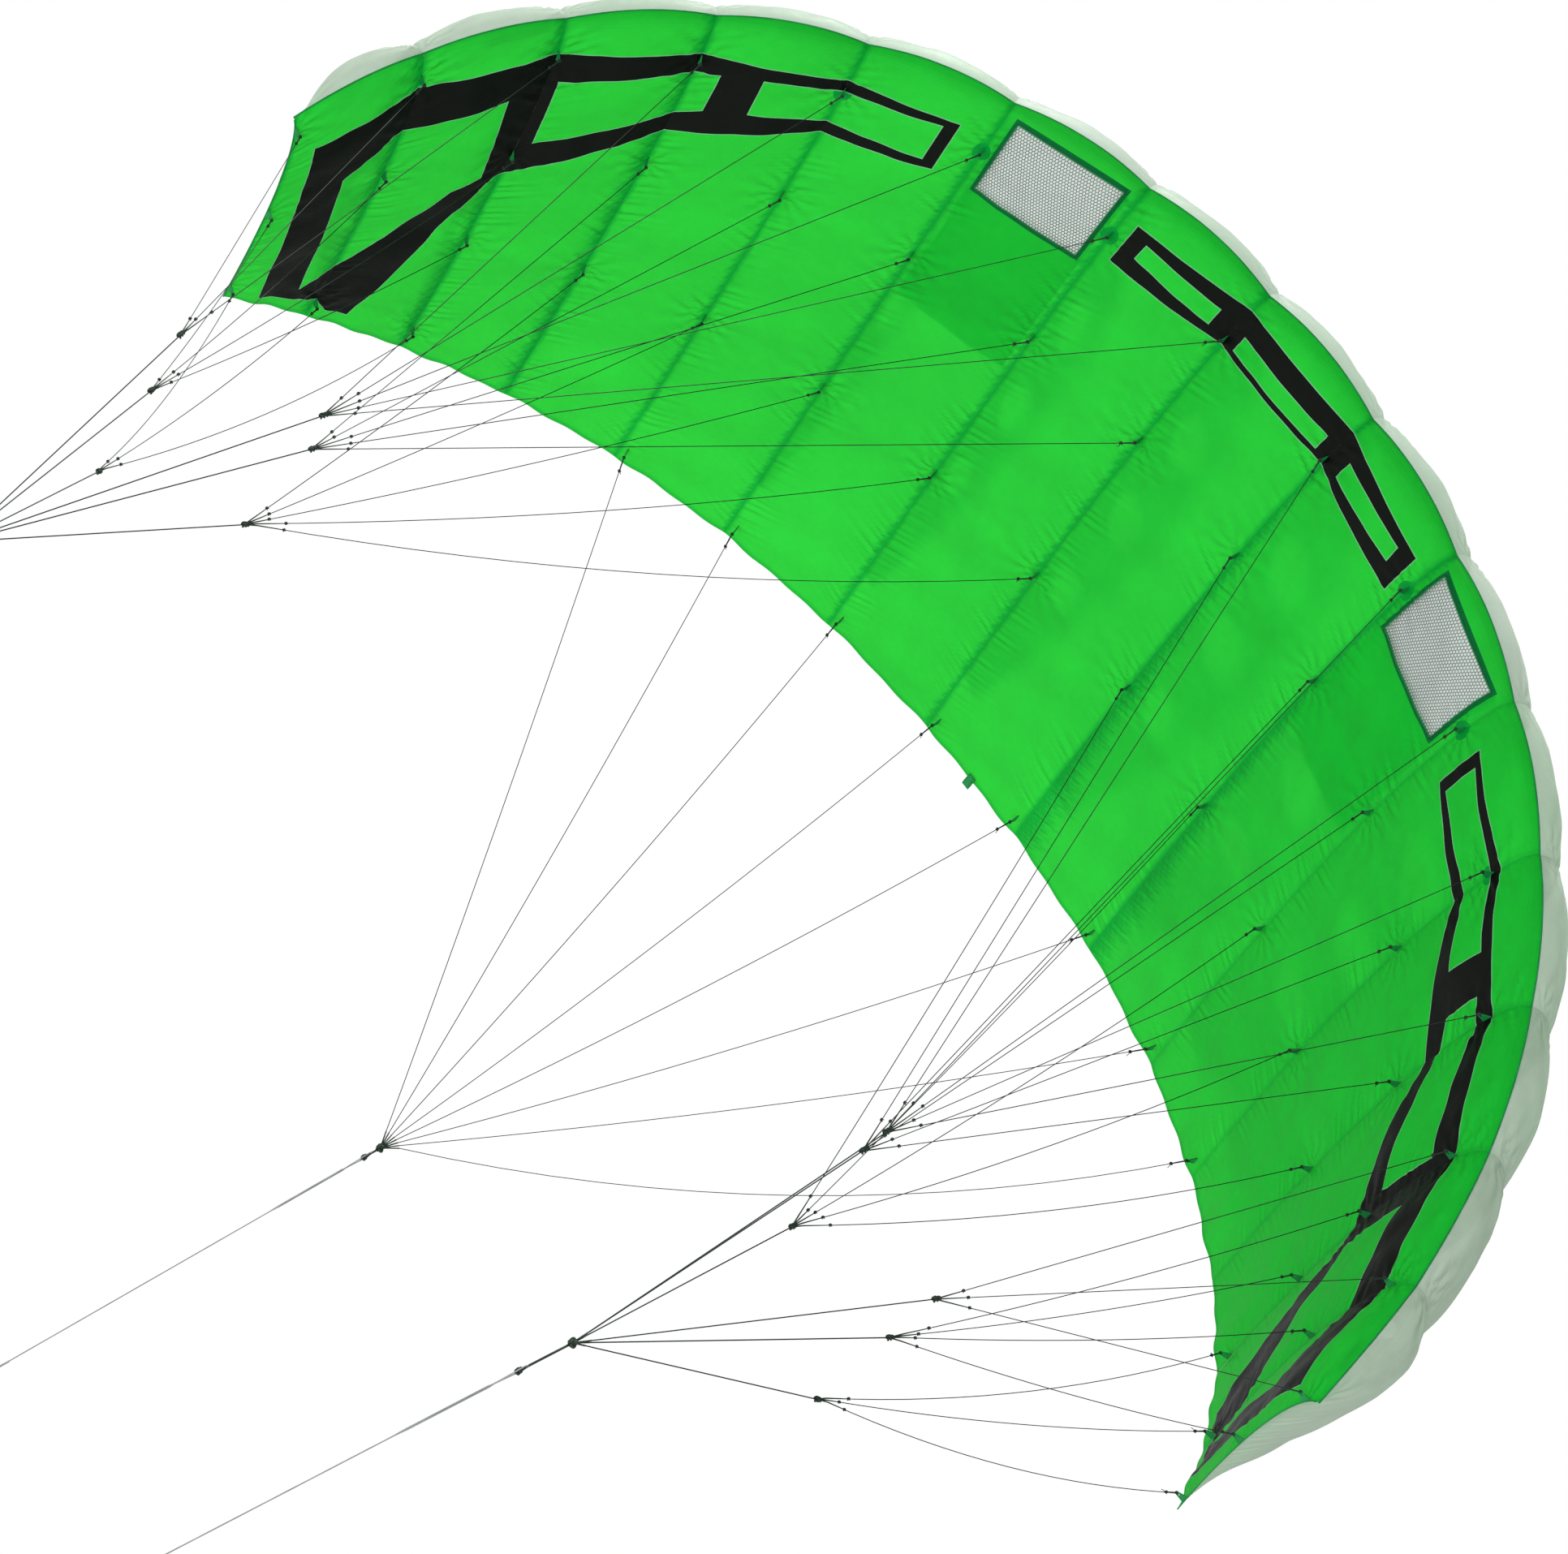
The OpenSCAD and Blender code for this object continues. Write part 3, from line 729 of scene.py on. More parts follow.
def cloth(name, colour, behind, roughness=0.55, share=0.5, clear=0.0, seam_and_shadow_tint=None, seam_and_shadow_behind=None):
    """Thin coated ripstop: colour on the lit side, behind as light shows through it, and clear for
    the share of light that goes straight between its threads."""
    n = Nodes(name)
    blotch = n.range(n.noise(n.place, 3.1, 4), 0.3, 0.7)
    faint = n.range(n.noise(n.uv.outputs[0], 60, 3), 0.25, 0.75)
    threads = n.ripstop(0.005, 0.07)
    reflect, through = colour, behind
    slope = 0.0
    if seam_and_shadow_tint is not None:
        # Painted crease shade from the crease slope: darker where the cloth sinks toward the trailing edge,
        # lighter where it rises.
        slope = n.math("SUBTRACT", 0.55, n.attribute("painted_crease_shade"))
        # Seam band: darker cloth for the doubled seams, and painted rib shadow on one side of each rib.
        seam = n.attribute("seam")
        reflect = n.mix(seam, reflect, seam_and_shadow_tint)
        through = n.mix(seam, through, seam_and_shadow_behind)
    dark = n.math("ADD", n.math("MULTIPLY", blotch, 0.08), n.math("MULTIPLY", faint, 0.05))
    dark = n.math("ADD", dark, n.math("MULTIPLY", threads, 0.1))
    dark = n.math("ADD", dark, n.math("MULTIPLY", slope, 0.5), clamp=True)
    shade = n.mix(dark, (1.0, 1.0, 1.0), (0.0, 0.0, 0.0))
    crumple = n.bump(n.noise(n.uv.outputs[0], 34, 5, 0.6), 0.35, 0.0015)
    weave = n.bump(threads, 0.4, 0.00012, crumple)
    front = n.add("ShaderNodeBsdfPrincipled")
    n.put(front.inputs["Base Color"], n.mix(1.0, reflect, shade, "MULTIPLY"))
    n.put(front.inputs["Roughness"], n.range(faint, 0, 1, roughness - 0.06, roughness + 0.06))
    front.inputs["Sheen Weight"].default_value = 0.015
    front.inputs["Sheen Roughness"].default_value = 0.4
    front.inputs["Specular IOR Level"].default_value = 0.06
    n.put(front.inputs["Normal"], weave)
    back = n.add("ShaderNodeBsdfTranslucent")
    n.put(back.inputs["Color"], n.mix(1.0, through, shade, "MULTIPLY"))
    n.put(back.inputs["Normal"], crumple)
    both = n.add("ShaderNodeMixShader")
    both.inputs[0].default_value = share
    n.put(both.inputs[1], front.outputs[0])
    n.put(both.inputs[2], back.outputs[0])
    if not clear:
        return n.output(both.outputs[0])
    thin = n.add("ShaderNodeMixShader")
    thin.inputs[0].default_value = clear
    n.put(thin.inputs[1], both.outputs[0])
    n.put(thin.inputs[2], n.add("ShaderNodeBsdfTransparent").outputs[0])
    return n.output(thin.outputs[0])


def thread(name, colour, worn, pitch, roughness=0.6):
    """Braided or woven cord and tape: fine diagonal strands and a faded, dusty surface."""
    n = Nodes(name)
    wave = n.add("ShaderNodeTexWave", wave_type="BANDS", bands_direction="DIAGONAL")
    n.put(wave.inputs["Vector"], n.place)
    wave.inputs["Scale"].default_value = 1 / pitch
    wave.inputs["Distortion"].default_value = 1.5
    wear = n.range(n.noise(n.place, 22, 4), 0.35, 0.7)
    shader = n.add("ShaderNodeBsdfPrincipled")
    deep = tuple(0.45 * c for c in colour)
    strands = n.mix(n.math("MULTIPLY", wave.outputs["Fac"], 0.35), colour, deep)
    n.put(shader.inputs["Base Color"], n.mix(n.math("MULTIPLY", wear, 0.6), strands, worn))
    n.put(shader.inputs["Roughness"], n.range(wear, 0, 1, roughness - 0.08, roughness + 0.12))
    shader.inputs["Specular IOR Level"].default_value = 0.1
    n.put(shader.inputs["Normal"], n.bump(wave.outputs["Fac"], 0.5, 0.0002))
    return n.output(shader.outputs[0])


# The seam colours are darker green for the doubled seams and for painted rib shadow.
GREEN_UNDER = cloth("green_under", (0.0, 0.36, 0.023), (0.05, 0.6, 0.05),
                    seam_and_shadow_tint=(0.0, 0.25, 0.022), seam_and_shadow_behind=(0.0, 0.36, 0.034))
BLACK_UNDER = cloth("black_under", (0.001, 0.002, 0.001), (0.001, 0.004, 0.002), 0.42, 0.3)
EDGE_UNDER = cloth("edge_under", (0.12, 0.34, 0.16), (0.1, 0.34, 0.15), 0.6, 0.4)
PATCH_UNDER = cloth("patch_under", (0.0, 0.26, 0.03), (0.0, 0.24, 0.035))
BINDING_UNDER = cloth("binding_under", (0.0, 0.13, 0.03), (0.0, 0.08, 0.02), 0.6, 0.35)
# The seam colours darken the white skin at its doubled seams and as painted rib shadow.
WHITE_OVER = cloth("white_over", (0.45, 0.51, 0.45), (0.53, 0.61, 0.53), 0.5, 0.5, 0.16,
                   seam_and_shadow_tint=(0.4, 0.47, 0.4), seam_and_shadow_behind=(0.33, 0.42, 0.34))
RIB_CLOTH = cloth("rib_cloth", (0.5, 0.62, 0.5), (0.3, 0.4, 0.3), 0.5, 0.35)
VALVE_CLOTH = cloth("valve_cloth", (0.75, 0.8, 0.78), (0.62, 0.68, 0.64))
NET = thread("net", (0.1, 0.1, 0.11), (0.17, 0.17, 0.18), 0.003)
TAPE = thread("green_tape", (0.002, 0.12, 0.025), (0.008, 0.19, 0.045), 0.004)
STITCH = thread("stitching", (0.004, 0.10, 0.025), (0.01, 0.17, 0.05), 0.003)
LINE = thread("bridle_line", (0.006, 0.014, 0.009), (0.02, 0.032, 0.025), 0.004)
SLEEVE = thread("line_sleeve", (0.012, 0.022, 0.015), (0.03, 0.05, 0.035), 0.004)
FLYING = thread("flying_line", (0.17, 0.18, 0.18), (0.3, 0.31, 0.31), 0.004)

# ---- Skins ----

ROW_STEP = 0.0055
COLUMN_STEP = 0.0095
NEAR_SEAM, NEAR_STEP = 0.03, 0.005
# How far the next cell's cloth is along the material's pattern
CLOTH_STEP = 0.25
# Share of a flap's length over which the cloth would bend; flap_blend only works out where the bend ends
FLAP_BEND = 0.75


def columns(width):
    """Distances across a cell, closer together beside its seams."""
    near = np.arange(0, NEAR_SEAM, NEAR_STEP)
    count = max(2, round((width - 2 * NEAR_SEAM) / COLUMN_STEP))
    middle = np.linspace(NEAR_SEAM, width - NEAR_SEAM, count)
    return np.r_[near, middle, width - near[::-1]]


def rows(side, length):
    total = float(PROFILE[side][-1]) * length
    return np.linspace(0, total, round(total / ROW_STEP))


def cell_name(cell):
    return "centre" if cell == 0 else f"{side_name(cell)}_{abs(cell)}"


def painted_shadow_reach(s, u):
    """How far the painted shadow of a rib runs out from its seam, on its broader side; on the two ribs right
    of the middle it widens toward the trailing edge.
    """
    if s < 0:
        return 0.024 if s < rib_s(-4) else 0.012
    return 0.012 + 0.045 * u**1.5 if s < rib_s(2) - 0.01 else 0.008


def seam_and_painted_shadow(cell, u, v, side):
    """0 on open cloth to 1 on a seam: a narrow band for the doubled cloth of the seam allowance and the rear
    hem, and on one side of each rib a broader band of painted rib shadow with a gathered, ragged edge.
    """
    s0, s1 = cell_edges(cell)
    width, y = cell_width(cell), girth(u, side) * cell_chord(cell)
    total = np.zeros_like(u)
    # The broad band of painted rib shadow lies on each rib's side toward the nearer tip; the other side gets
    # only the narrow seam allowance.
    for edge, s, broad in ((v, s0, s0 > 0), (1 - v, s1, s1 < 0)):
        seed = 60 * (int(round(s * CELLS)) + CELLS + 1)
        reach = painted_shadow_reach(s, u) if broad else 0.007
        reach = reach * (1 + 0.3 * ripples(y, seed, (0.03, 0.06, 0.15, 0.4)))
        ragged = 0.3 * ripples(y + 0.4 * edge * width, seed + 1, (0.007, 0.011)) if broad else 0
        near = edge * width / np.maximum(reach, 0.004)
        # Seams and painted shadow are lighter from the third rib of the right half outward, and on the upper
        # skin.
        depth = 0.45 if s > rib_s(2) - 0.01 or side == UPPER else 1
        total = np.maximum(total, depth * np.clip(1.15 + ragged - near, 0, 1))
    hem = np.clip(1.5 - (1 - u) * cell_chord(cell) / 0.008, 0, 1)
    return np.maximum(total, 0.6 * hem)


def flat_area(cell, side):
    """Width, length and area of the cloth that a cell's skin is cut from."""
    s0, s1 = cell_edges(cell)
    q = np.linspace(0, 1, 60) * PROFILE[side][-1]
    w = w_at(q, side)[:, None]
    v = np.linspace(0, 1, 25)
    p = cell_point(cell, w, v, side)
    wide = np.linalg.norm(np.diff(p, axis=1), axis=2).sum(1)
    length = np.linalg.norm(np.diff(p[:, 12], axis=0), axis=1).sum()
    return float(wide.max()), float(length), float(np.mean(wide) * length)


def flap_blend(obj, cell):
    """Works out where cloth over a brake flap's hinge would bend, and where the next cell's corner would
    follow; it only bakes the object's transform, and nothing bends.
    """
    half = 1 if cell >= 0 else -1
    k = abs(cell)
    hinge, edge = math.sqrt(HINGE_U), 1.0
    inner, outer = (0, 1) if half > 0 else (1, 0)
    a0, a1 = (cell_point(cell, hinge, v, LOWER) for v in (inner, outer))
    b0, b1 = (cell_point(cell, edge, v, LOWER) for v in (inner, outer))
    if k <= FLAP_CELLS:
        line = unit(a1 - a0)
        ahead = (b0 + b1 - a0 - a1) / 2
        ahead = ahead - line * (ahead @ line)
        start, end = (a0 + a1) / 2, (a0 + a1) / 2 + FLAP_BEND * ahead
        body = f"flap_{cell_name(cell)}"
    else:
        along_chord, to_inner = b0 - a0, a0 - a1
        basis = np.stack([along_chord, to_inner])
        dual = np.linalg.inv(basis @ basis.T) @ basis
        slope = dual[0] + dual[1]
        start = a0
        end = start + FLAP_BEND * slope / (slope @ slope)
        body = f"flap_{cell_name(half * FLAP_CELLS)}"
    tuple(start)
    tuple(end)
    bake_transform(obj)


def skin_done(obj, cell, side, nodes):
    wide, length, area = flat_area(cell, side)
    if abs(cell) <= FLAP_CELLS + 1:
        flap_blend(obj, cell)
    else:
        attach(obj, "canopy")
    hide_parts(*nodes)


def panel_nodes(cell, side):
    layer = "upper" if side == UPPER else "lower"
    k = abs(cell)
    nodes = [f"{layer}_panel_centre" if k == 0 else f"{layer}_panels_{k}"]
    if side == LOWER and k <= FLAP_CELLS:
        nodes.append(f"brake_flap_{cell_name(cell)}")
    return nodes


def add_upper_skin(cell):
    width, length = cell_width(cell), cell_chord(cell)
    x, y = columns(width), rows(UPPER, length)
    u = w_at(y / length, UPPER)[:, None] ** 2
    u, v = np.broadcast_arrays(u, x / width)
    points, faces = skin(cell, u, v, UPPER).reshape(-1, 3), grid_faces(len(y), len(x))
    uv = np.stack(np.broadcast_arrays(x + cell * CLOTH_STEP, y[:, None]), -1).reshape(-1, 2)
    obj = add_mesh(f"upper_skin_{cell_name(cell)}", points, faces, [WHITE_OVER], uv=uv)
    # Seam band: doubled seam cloth and painted rib shadow.
    add_attribute(obj, "seam", seam_and_painted_shadow(cell, u.ravel(), v.ravel(), UPPER))
    # Painted crease shade, from the slope of the creases.
    add_attribute(obj, "painted_crease_shade", painted_crease_shade(cell, u.ravel(), v.ravel(), UPPER))
    skin_done(obj, cell, UPPER, panel_nodes(cell, UPPER))


def vent_rectangle(cell, grow=0.0):
    (u0, u1), (v0, v1) = VENT_U, VENT_V
    if cell < 0:
        v0, v1 = 1 - v1, 1 - v0
    width, length = cell_width(cell), cell_chord(cell)
    y0, y1 = girth(u0, LOWER) * length - grow, girth(u1, LOWER) * length + grow
    x0, x1 = v0 * width - grow, v1 * width + grow
    return np.array([(x0, y0), (x1, y0), (x1, y1), (x0, y1)])


def patch_outlines(cell):
    """Round doubled patches at the front tabs, half of each in either cell."""
    turn = turns(28)
    for x, s in zip((0, cell_width(cell)), cell_edges(cell)):
        if abs(s) < rib_s(5):
            y = girth(tab_u("a", abs(s)), LOWER) * cell_chord(cell)
            yield np.c_[x + PATCH_R * np.cos(turn), y + PATCH_R * np.sin(turn)]


def add_lower_skin(cell):
    width, length = cell_width(cell), cell_chord(cell)
    x, y = columns(width), rows(LOWER, length)
    total = y[-1]
    blocks = [to_cell(cell, o) for o in BLOCKS]
    gaps = [to_cell(cell, o) for o in GAPS]
    patches = list(patch_outlines(cell))
    vent = vent_rectangle(cell) if abs(cell) == VENT_CELL else None
    outlines = blocks + gaps + patches
    outlines += [offset(o, sign * EDGING) for o in blocks + gaps for sign in (1, -1)]
    if vent is not None:
        outlines += [vent, vent_rectangle(cell, BINDING)]
    gx, gy = np.meshgrid(x, y)
    points = list(np.c_[gx.ravel(), gy.ravel()])
    edges = []
    for j in range(len(x) - 1):
        edges += [(j, j + 1), ((len(y) - 1) * len(x) + j, (len(y) - 1) * len(x) + j + 1)]
    for i in range(len(y) - 1):
        edges += [(i * len(x), (i + 1) * len(x)), (i * len(x) + len(x) - 1, (i + 2) * len(x) - 1)]
    for outline in outlines:
        for a, b in zip(outline, np.roll(outline, -1, 0)):
            kept = clipped(a, b, width, total)
            if kept is not None:
                steps = math.ceil(np.linalg.norm(kept[1] - kept[0]) / ROW_STEP)
                edges += [(len(points) + i, len(points) + i + 1) for i in range(steps)]
                points += [kept[0] + (kept[1] - kept[0]) * i / steps for i in range(steps + 1)]
    flat, faces = triangulated(points, edges)
    flat = np.clip(flat, 0, (width, total))
    corners = flat[np.array(faces)]
    area = np.cross(corners[:, 1] - corners[:, 0], corners[:, 2] - corners[:, 0])
    middle = corners.mean(1)
    kinds = np.zeros(len(faces), int)  # an index into the material list below
    for patch in patches:
        kinds[inside(middle, patch)] = 3
    black = np.zeros(len(faces), bool)
    for o in blocks:
        black |= inside(middle, o)
    for o in gaps:
        black &= ~inside(middle, o)
    near = np.min([edge_distance(middle, o) for o in blocks + gaps], 0) < EDGING
    kinds[near] = 2
    kinds[black] = 1
    kept = np.abs(area) > 1e-12
    if vent is not None:
        kinds[inside(middle, vent_rectangle(cell, BINDING))] = 4
        kept &= ~inside(middle, vent)
    u = w_at(flat[:, 1] / length, LOWER) ** 2
    v = flat[:, 0] / width
    faces = [f if a < 0 else (f[0], f[2], f[1]) for f, a, k in zip(faces, area, kept) if k]
    used = np.unique(np.array(faces))
    renumber = np.full(len(flat), -1)
    renumber[used] = np.arange(len(used))
    faces = [tuple(int(renumber[i]) for i in f) for f in faces]
    obj = add_mesh(f"lower_skin_{cell_name(cell)}", skin(cell, u[used], v[used], LOWER), faces,
                   [GREEN_UNDER, BLACK_UNDER, EDGE_UNDER, PATCH_UNDER, BINDING_UNDER],
                   kinds[kept], flat[used] + (cell * CLOTH_STEP, 0))
    # Seam band: doubled seam cloth and painted rib shadow.
    add_attribute(obj, "seam", seam_and_painted_shadow(cell, u[used], v[used], LOWER))
    # Painted crease shade, from the slope of the creases.
    add_attribute(obj, "painted_crease_shade", painted_crease_shade(cell, u[used], v[used], LOWER))
    skin_done(obj, cell, LOWER, panel_nodes(cell, LOWER))


# ---- Ribs ----

# Ports: places along the chord, and radius in shares of the rib's depth there
PORTS, PORT_R = (0.2, 0.38, 0.56), 0.045
RIB_GRID, RIB_RISES, RIB_BULGE = 0.02, (-0.08, 0.16), 0.0012


def add_rib(k, half):
    """A cloth wall between two cells, with three round ports."""
    s = rib_s(k) * half
    last = HINGE_U if k <= FLAP_CELLS else 0.995
    w = np.sqrt(np.r_[np.linspace(0.03, 0.3, 24) ** 2, np.linspace(0.1, last, 70)])
    top, base = (rib_point(s, w, side, RIB_INSET) for side in (UPPER, LOWER))
    origin, ahead, normal = nose(s), along(s), rib_side(s)
    rise = np.cross(normal, ahead)
    outline = np.r_[top, base[::-1]] - origin
    ring = np.c_[outline @ ahead, outline @ rise]
    loops = [ring]
    for u in PORTS:
        turn = turns(32)
        full = fullness(math.sqrt(u)) * chord(s)
        centre = np.array([u * chord(s), (UPPER_CAMBER - LOWER_CAMBER) / 2 * full])
        loops.append(centre + PORT_R * full * np.c_[np.cos(turn), np.sin(turn)])
    points, edges = [], []
    for loop in loops:
        first = len(points)
        points += list(loop)
        edges += ring_edges(first, len(loop))
    inner = np.array([(a, b) for a in np.arange(RIB_GRID, float(chord(s)), RIB_GRID)
                      for b in np.arange(*RIB_RISES, RIB_GRID)])
    inner = inner[inside(inner, ring) & (edge_distance(inner, ring) > 0.006)]
    flat, faces = triangulated(points + list(inner), edges)
    middle = flat[np.array(faces)].mean(1)
    kept = inside(middle, ring)
    for port in loops[1:]:
        kept &= ~inside(middle, port)
    faces = [f for f, keep in zip(faces, kept) if keep]
    bulge = RIB_BULGE * ripples(flat[:, 0], 30 + k, (0.12, 0.2))
    bulge = bulge * np.clip(edge_distance(flat, ring) / 0.02, 0, 1)
    points = origin + np.outer(flat[:, 0], ahead) + np.outer(flat[:, 1], rise) + np.outer(bulge, normal)
    obj = add_mesh(f"rib_{side_name(half)}_{k + 1}", points, faces, [RIB_CLOTH], uv=flat)
    tie(obj, "canopy", "rib_cloth", f"ribs_{k + 1}")
    area = sum(abs(float(np.cross(flat[f[1]] - flat[f[0]], flat[f[2]] - flat[f[0]]))) / 2 for f in faces)


# ---- Windows ----

NET_PITCH, NET_R = 0.0058, 0.00065


def net_segments(width, length, pitch):
    """Threads of a net with six-sided holes, cut to a rectangle."""
    step_x, step_y = pitch, pitch * math.sqrt(3) / 2
    corner = pitch / math.sqrt(3)
    found = []
    for i in range(-1, int(length / step_y) + 2):
        for j in range(-1, int(width / step_x) + 2):
            centre = np.array([(j + 0.5 * (i % 2)) * step_x, i * step_y])
            ring = [centre + corner * np.array([math.sin(a), math.cos(a)])
                    for a in np.radians([0, 60, 120, 180])]
            for a, b in zip(ring, ring[1:]):
                kept = clipped(a, b, width, length)
                if kept is not None:
                    found.append(kept)
    return np.array(found)


def add_window(cell):
    half = side_name(cell)
    width, length = cell_width(cell), cell_chord(cell)
    opening = vent_rectangle(cell, 0.001)
    low, size = opening[0], opening[2] - opening[0]
    segments = net_segments(*size, NET_PITCH) + low
    u = w_at(segments[..., 1] / length, LOWER) ** 2
    ends = skin(cell, u, segments[..., 0] / width, LOWER, -0.0006)
    parts = []
    normal = unit(np.cross(ends[0, 1] - ends[0, 0], ends[-1, 0] - ends[0, 0]))
    for a, b in ends:
        ahead = unit(b - a)
        side = unit(np.cross(ahead, normal))
        ring = [NET_R * (side * math.cos(t) + normal * math.sin(t))
                for t in np.radians([0, 90, 180, 270])]
        parts.append((np.array([a + r for r in ring] + [b + r for r in ring]),
                      [(i, (i + 1) % 4, 4 + (i + 1) % 4, 4 + i) for i in range(4)]))
    add_parts(f"window_net_{half}", parts, NET, "canopy", "vent_mesh", f"vent_mesh_{half}")
    add_overlock(cell, half)
    add_valve(cell, half)


def add_overlock(cell, half):
    """Zigzag stitches over the window's bound edge, and the cord that stiffens it."""
    width, length = cell_width(cell), cell_chord(cell)
    parts = []
    for grow, swing, radius, pitch in ((0.0035, 0.003, 0.0005, 0.0022), (0.0, 0.0, 0.0012, 0.006)):
        ring = vent_rectangle(cell, grow)
        path = []
        for a, b in zip(ring, np.roll(ring, -1, 0)):
            n = int(np.linalg.norm(b - a) / pitch)
            out = np.array([(b - a)[1], -(b - a)[0]]) / np.linalg.norm(b - a)
            path += [a + (b - a) * i / n + out * swing * (1 if i % 2 else -1) for i in range(n)]
        path = np.array(path + path[:1])
        u = w_at(path[:, 1] / length, LOWER) ** 2
        place = skin(cell, u, path[:, 0] / width, LOWER, 0.0006)
        parts.append(tube_parts(place, radius, 5))
    add_parts(f"window_stitching_{half}", parts, STITCH, "canopy", "green_webbing")


def add_valve(cell, half):
    """The inner flap that closes the window when air pushes out."""
    (u0, u1), (v0, v1) = VALVE_U, VALVE_V
    q = np.linspace(girth(u0, LOWER), girth(u1, LOWER), 46)
    v = np.linspace(v0, v1, 30)
    w = w_at(q, LOWER)[:, None]
    slack = VALVE_SLACK * ripples(q[:, None] * 1.1, 81 + cell, (0.05, 0.083))
    slack = slack * np.sin(math.pi * (v - v0) / (v1 - v0))
    points = skin(cell, w**2, v, LOWER, -VALVE_DEPTH - slack).reshape(-1, 3)
    width, length = cell_width(cell), cell_chord(cell)
    uv = np.stack(np.broadcast_arrays(v * width, q[:, None] * length), -1).reshape(-1, 2)
    faces = grid_faces(len(q), len(v), flip=True)
    obj = add_mesh(f"valve_cloth_{half}", points, faces, [VALVE_CLOTH], uv=uv)
    tie(obj, f"valve_{half}", "valve_cloth", f"valve_flap_{half}")
    f"lower_skin_{cell_name(cell)}"


# ---- Piping along the leading edge and the tips ----

PIPING_R, TIP_PIPING_R = 0.0015, 0.0012


def add_piping():
    path = [skin(c, 0.0, v, LOWER) for c in range(-HALF_CELLS, HALF_CELLS + 1)
            for v in np.linspace(0, 1, 14)[: (14 if c == HALF_CELLS else 13)]]
    add_parts("leading_edge_cord", [tube_parts(path, PIPING_R)], TAPE, "canopy", "green_webbing",
              "leading_edge_piping")
    for name, half in HALVES.items():
        q = np.linspace(0.01, 1, 60) * PROFILE[LOWER][-1]
        u = w_at(q, LOWER) ** 2
        edge = skin(half * HALF_CELLS, u, 1.0 if half > 0 else 0.0, LOWER)
        add_parts(f"tip_cord_{name}", [tube_parts(edge, TIP_PIPING_R)], TAPE, "canopy", "green_webbing",
                  f"tip_piping_{name}")


# ---- Tabs, knots and sleeves ----

# The longest lines, beside the three flying lines, are passed to declare, which only measures their length
DECLARED = 37


def brake_tab_parts(cell, v):
    """A small folded cloth tab with an eye, at the rear edge of a flap."""
    out, side = brake_out(cell), rib_side(sum(cell_edges(cell)) / 2)
    root, ahead = brake_root(cell, v) + out * TAB_LIFT, unit(np.cross(out, side))
    turn = turns(24)
    hole = np.c_[1.6 * np.cos(turn), 11 + 1.6 * np.sin(turn)] * MM
    rim = np.array([(-9, 0), (9, 0), (3.5, 16), (-3.5, 16)]) * MM
    flat, faces = triangulated(np.r_[rim, hole], ring_edges(0, 4) + ring_edges(4, 24), 1e-9)
    faces = [f for f in faces if not inside(flat[list(f)].mean(0)[None], hole)[0]
             and inside(flat[list(f)].mean(0)[None], rim)[0]]
    n = len(flat)
    layers = [root + np.outer(flat[:, 0], ahead) + np.outer(flat[:, 1], out) + side * t * 0.0006
              for t in (1, -1)]
    skins = faces + [tuple(n + i for i in reversed(f)) for f in faces]
    walls = [(a, b, n + b, n + a) for ring, flip in ((range(4), 0), (range(4, 28), 1))
             for a, b in zip(ring, [*ring][1:] + [ring[0]])]
    return np.concatenate(layers), skins + walls


def add_brake_tabs():
    for k in range(FLAP_CELLS + 1):
        for name, half in HALVES.items():
            v = 1 - BRAKE_TAB_EDGE / cell_width(k)
            cell, v = (k, v) if half > 0 else (-k, 1 - v)
            add_parts(f"brake_tab_{name}_{k + 1}", [brake_tab_parts(cell, v)], TAPE,
                      f"flap_{cell_name(cell)}", "green_webbing")


def end_parts(points):
    """Sleeve, knots and cut tail at the start of a line."""
    a, b = points[0], points[1]
    ahead = unit(b - a)
    side = unit(np.cross(ahead, (0.3, 0.2, 1)))
    tip = a + ahead * SLEEVE_L
    path = [a - ahead * 0.001, a + ahead * 0.004, a + ahead * SLEEVE_L * 0.5, tip]
    tail = np.array([tip, tip + ahead * 0.003 + side * 0.003, tip + ahead * 0.008 + side * 0.006])
    return [tube_parts(path, np.array([0.9, 1, 1.05, 0.85]) * SLEEVE_D / 2, 8),
            knot_parts(a, ahead, 0.0026), knot_parts(tip, ahead, 0.0024), tube_parts(tail, 0.0006, 6)]


def fan_parts(points, centre, length):
    """The thicker looped end of a line, from its small knot down to the knot of its fan."""
    foot = points[-1]
    ahead = unit(points[-2] - foot)
    tip = foot + ahead * length
    parts = [tube_parts([tip, foot, foot * 0.3 + centre * 0.7], np.array([0.8, 1.15, 1.2]) * MM, 6)]
    return parts + [knot_parts(tip, ahead, 0.0022)]


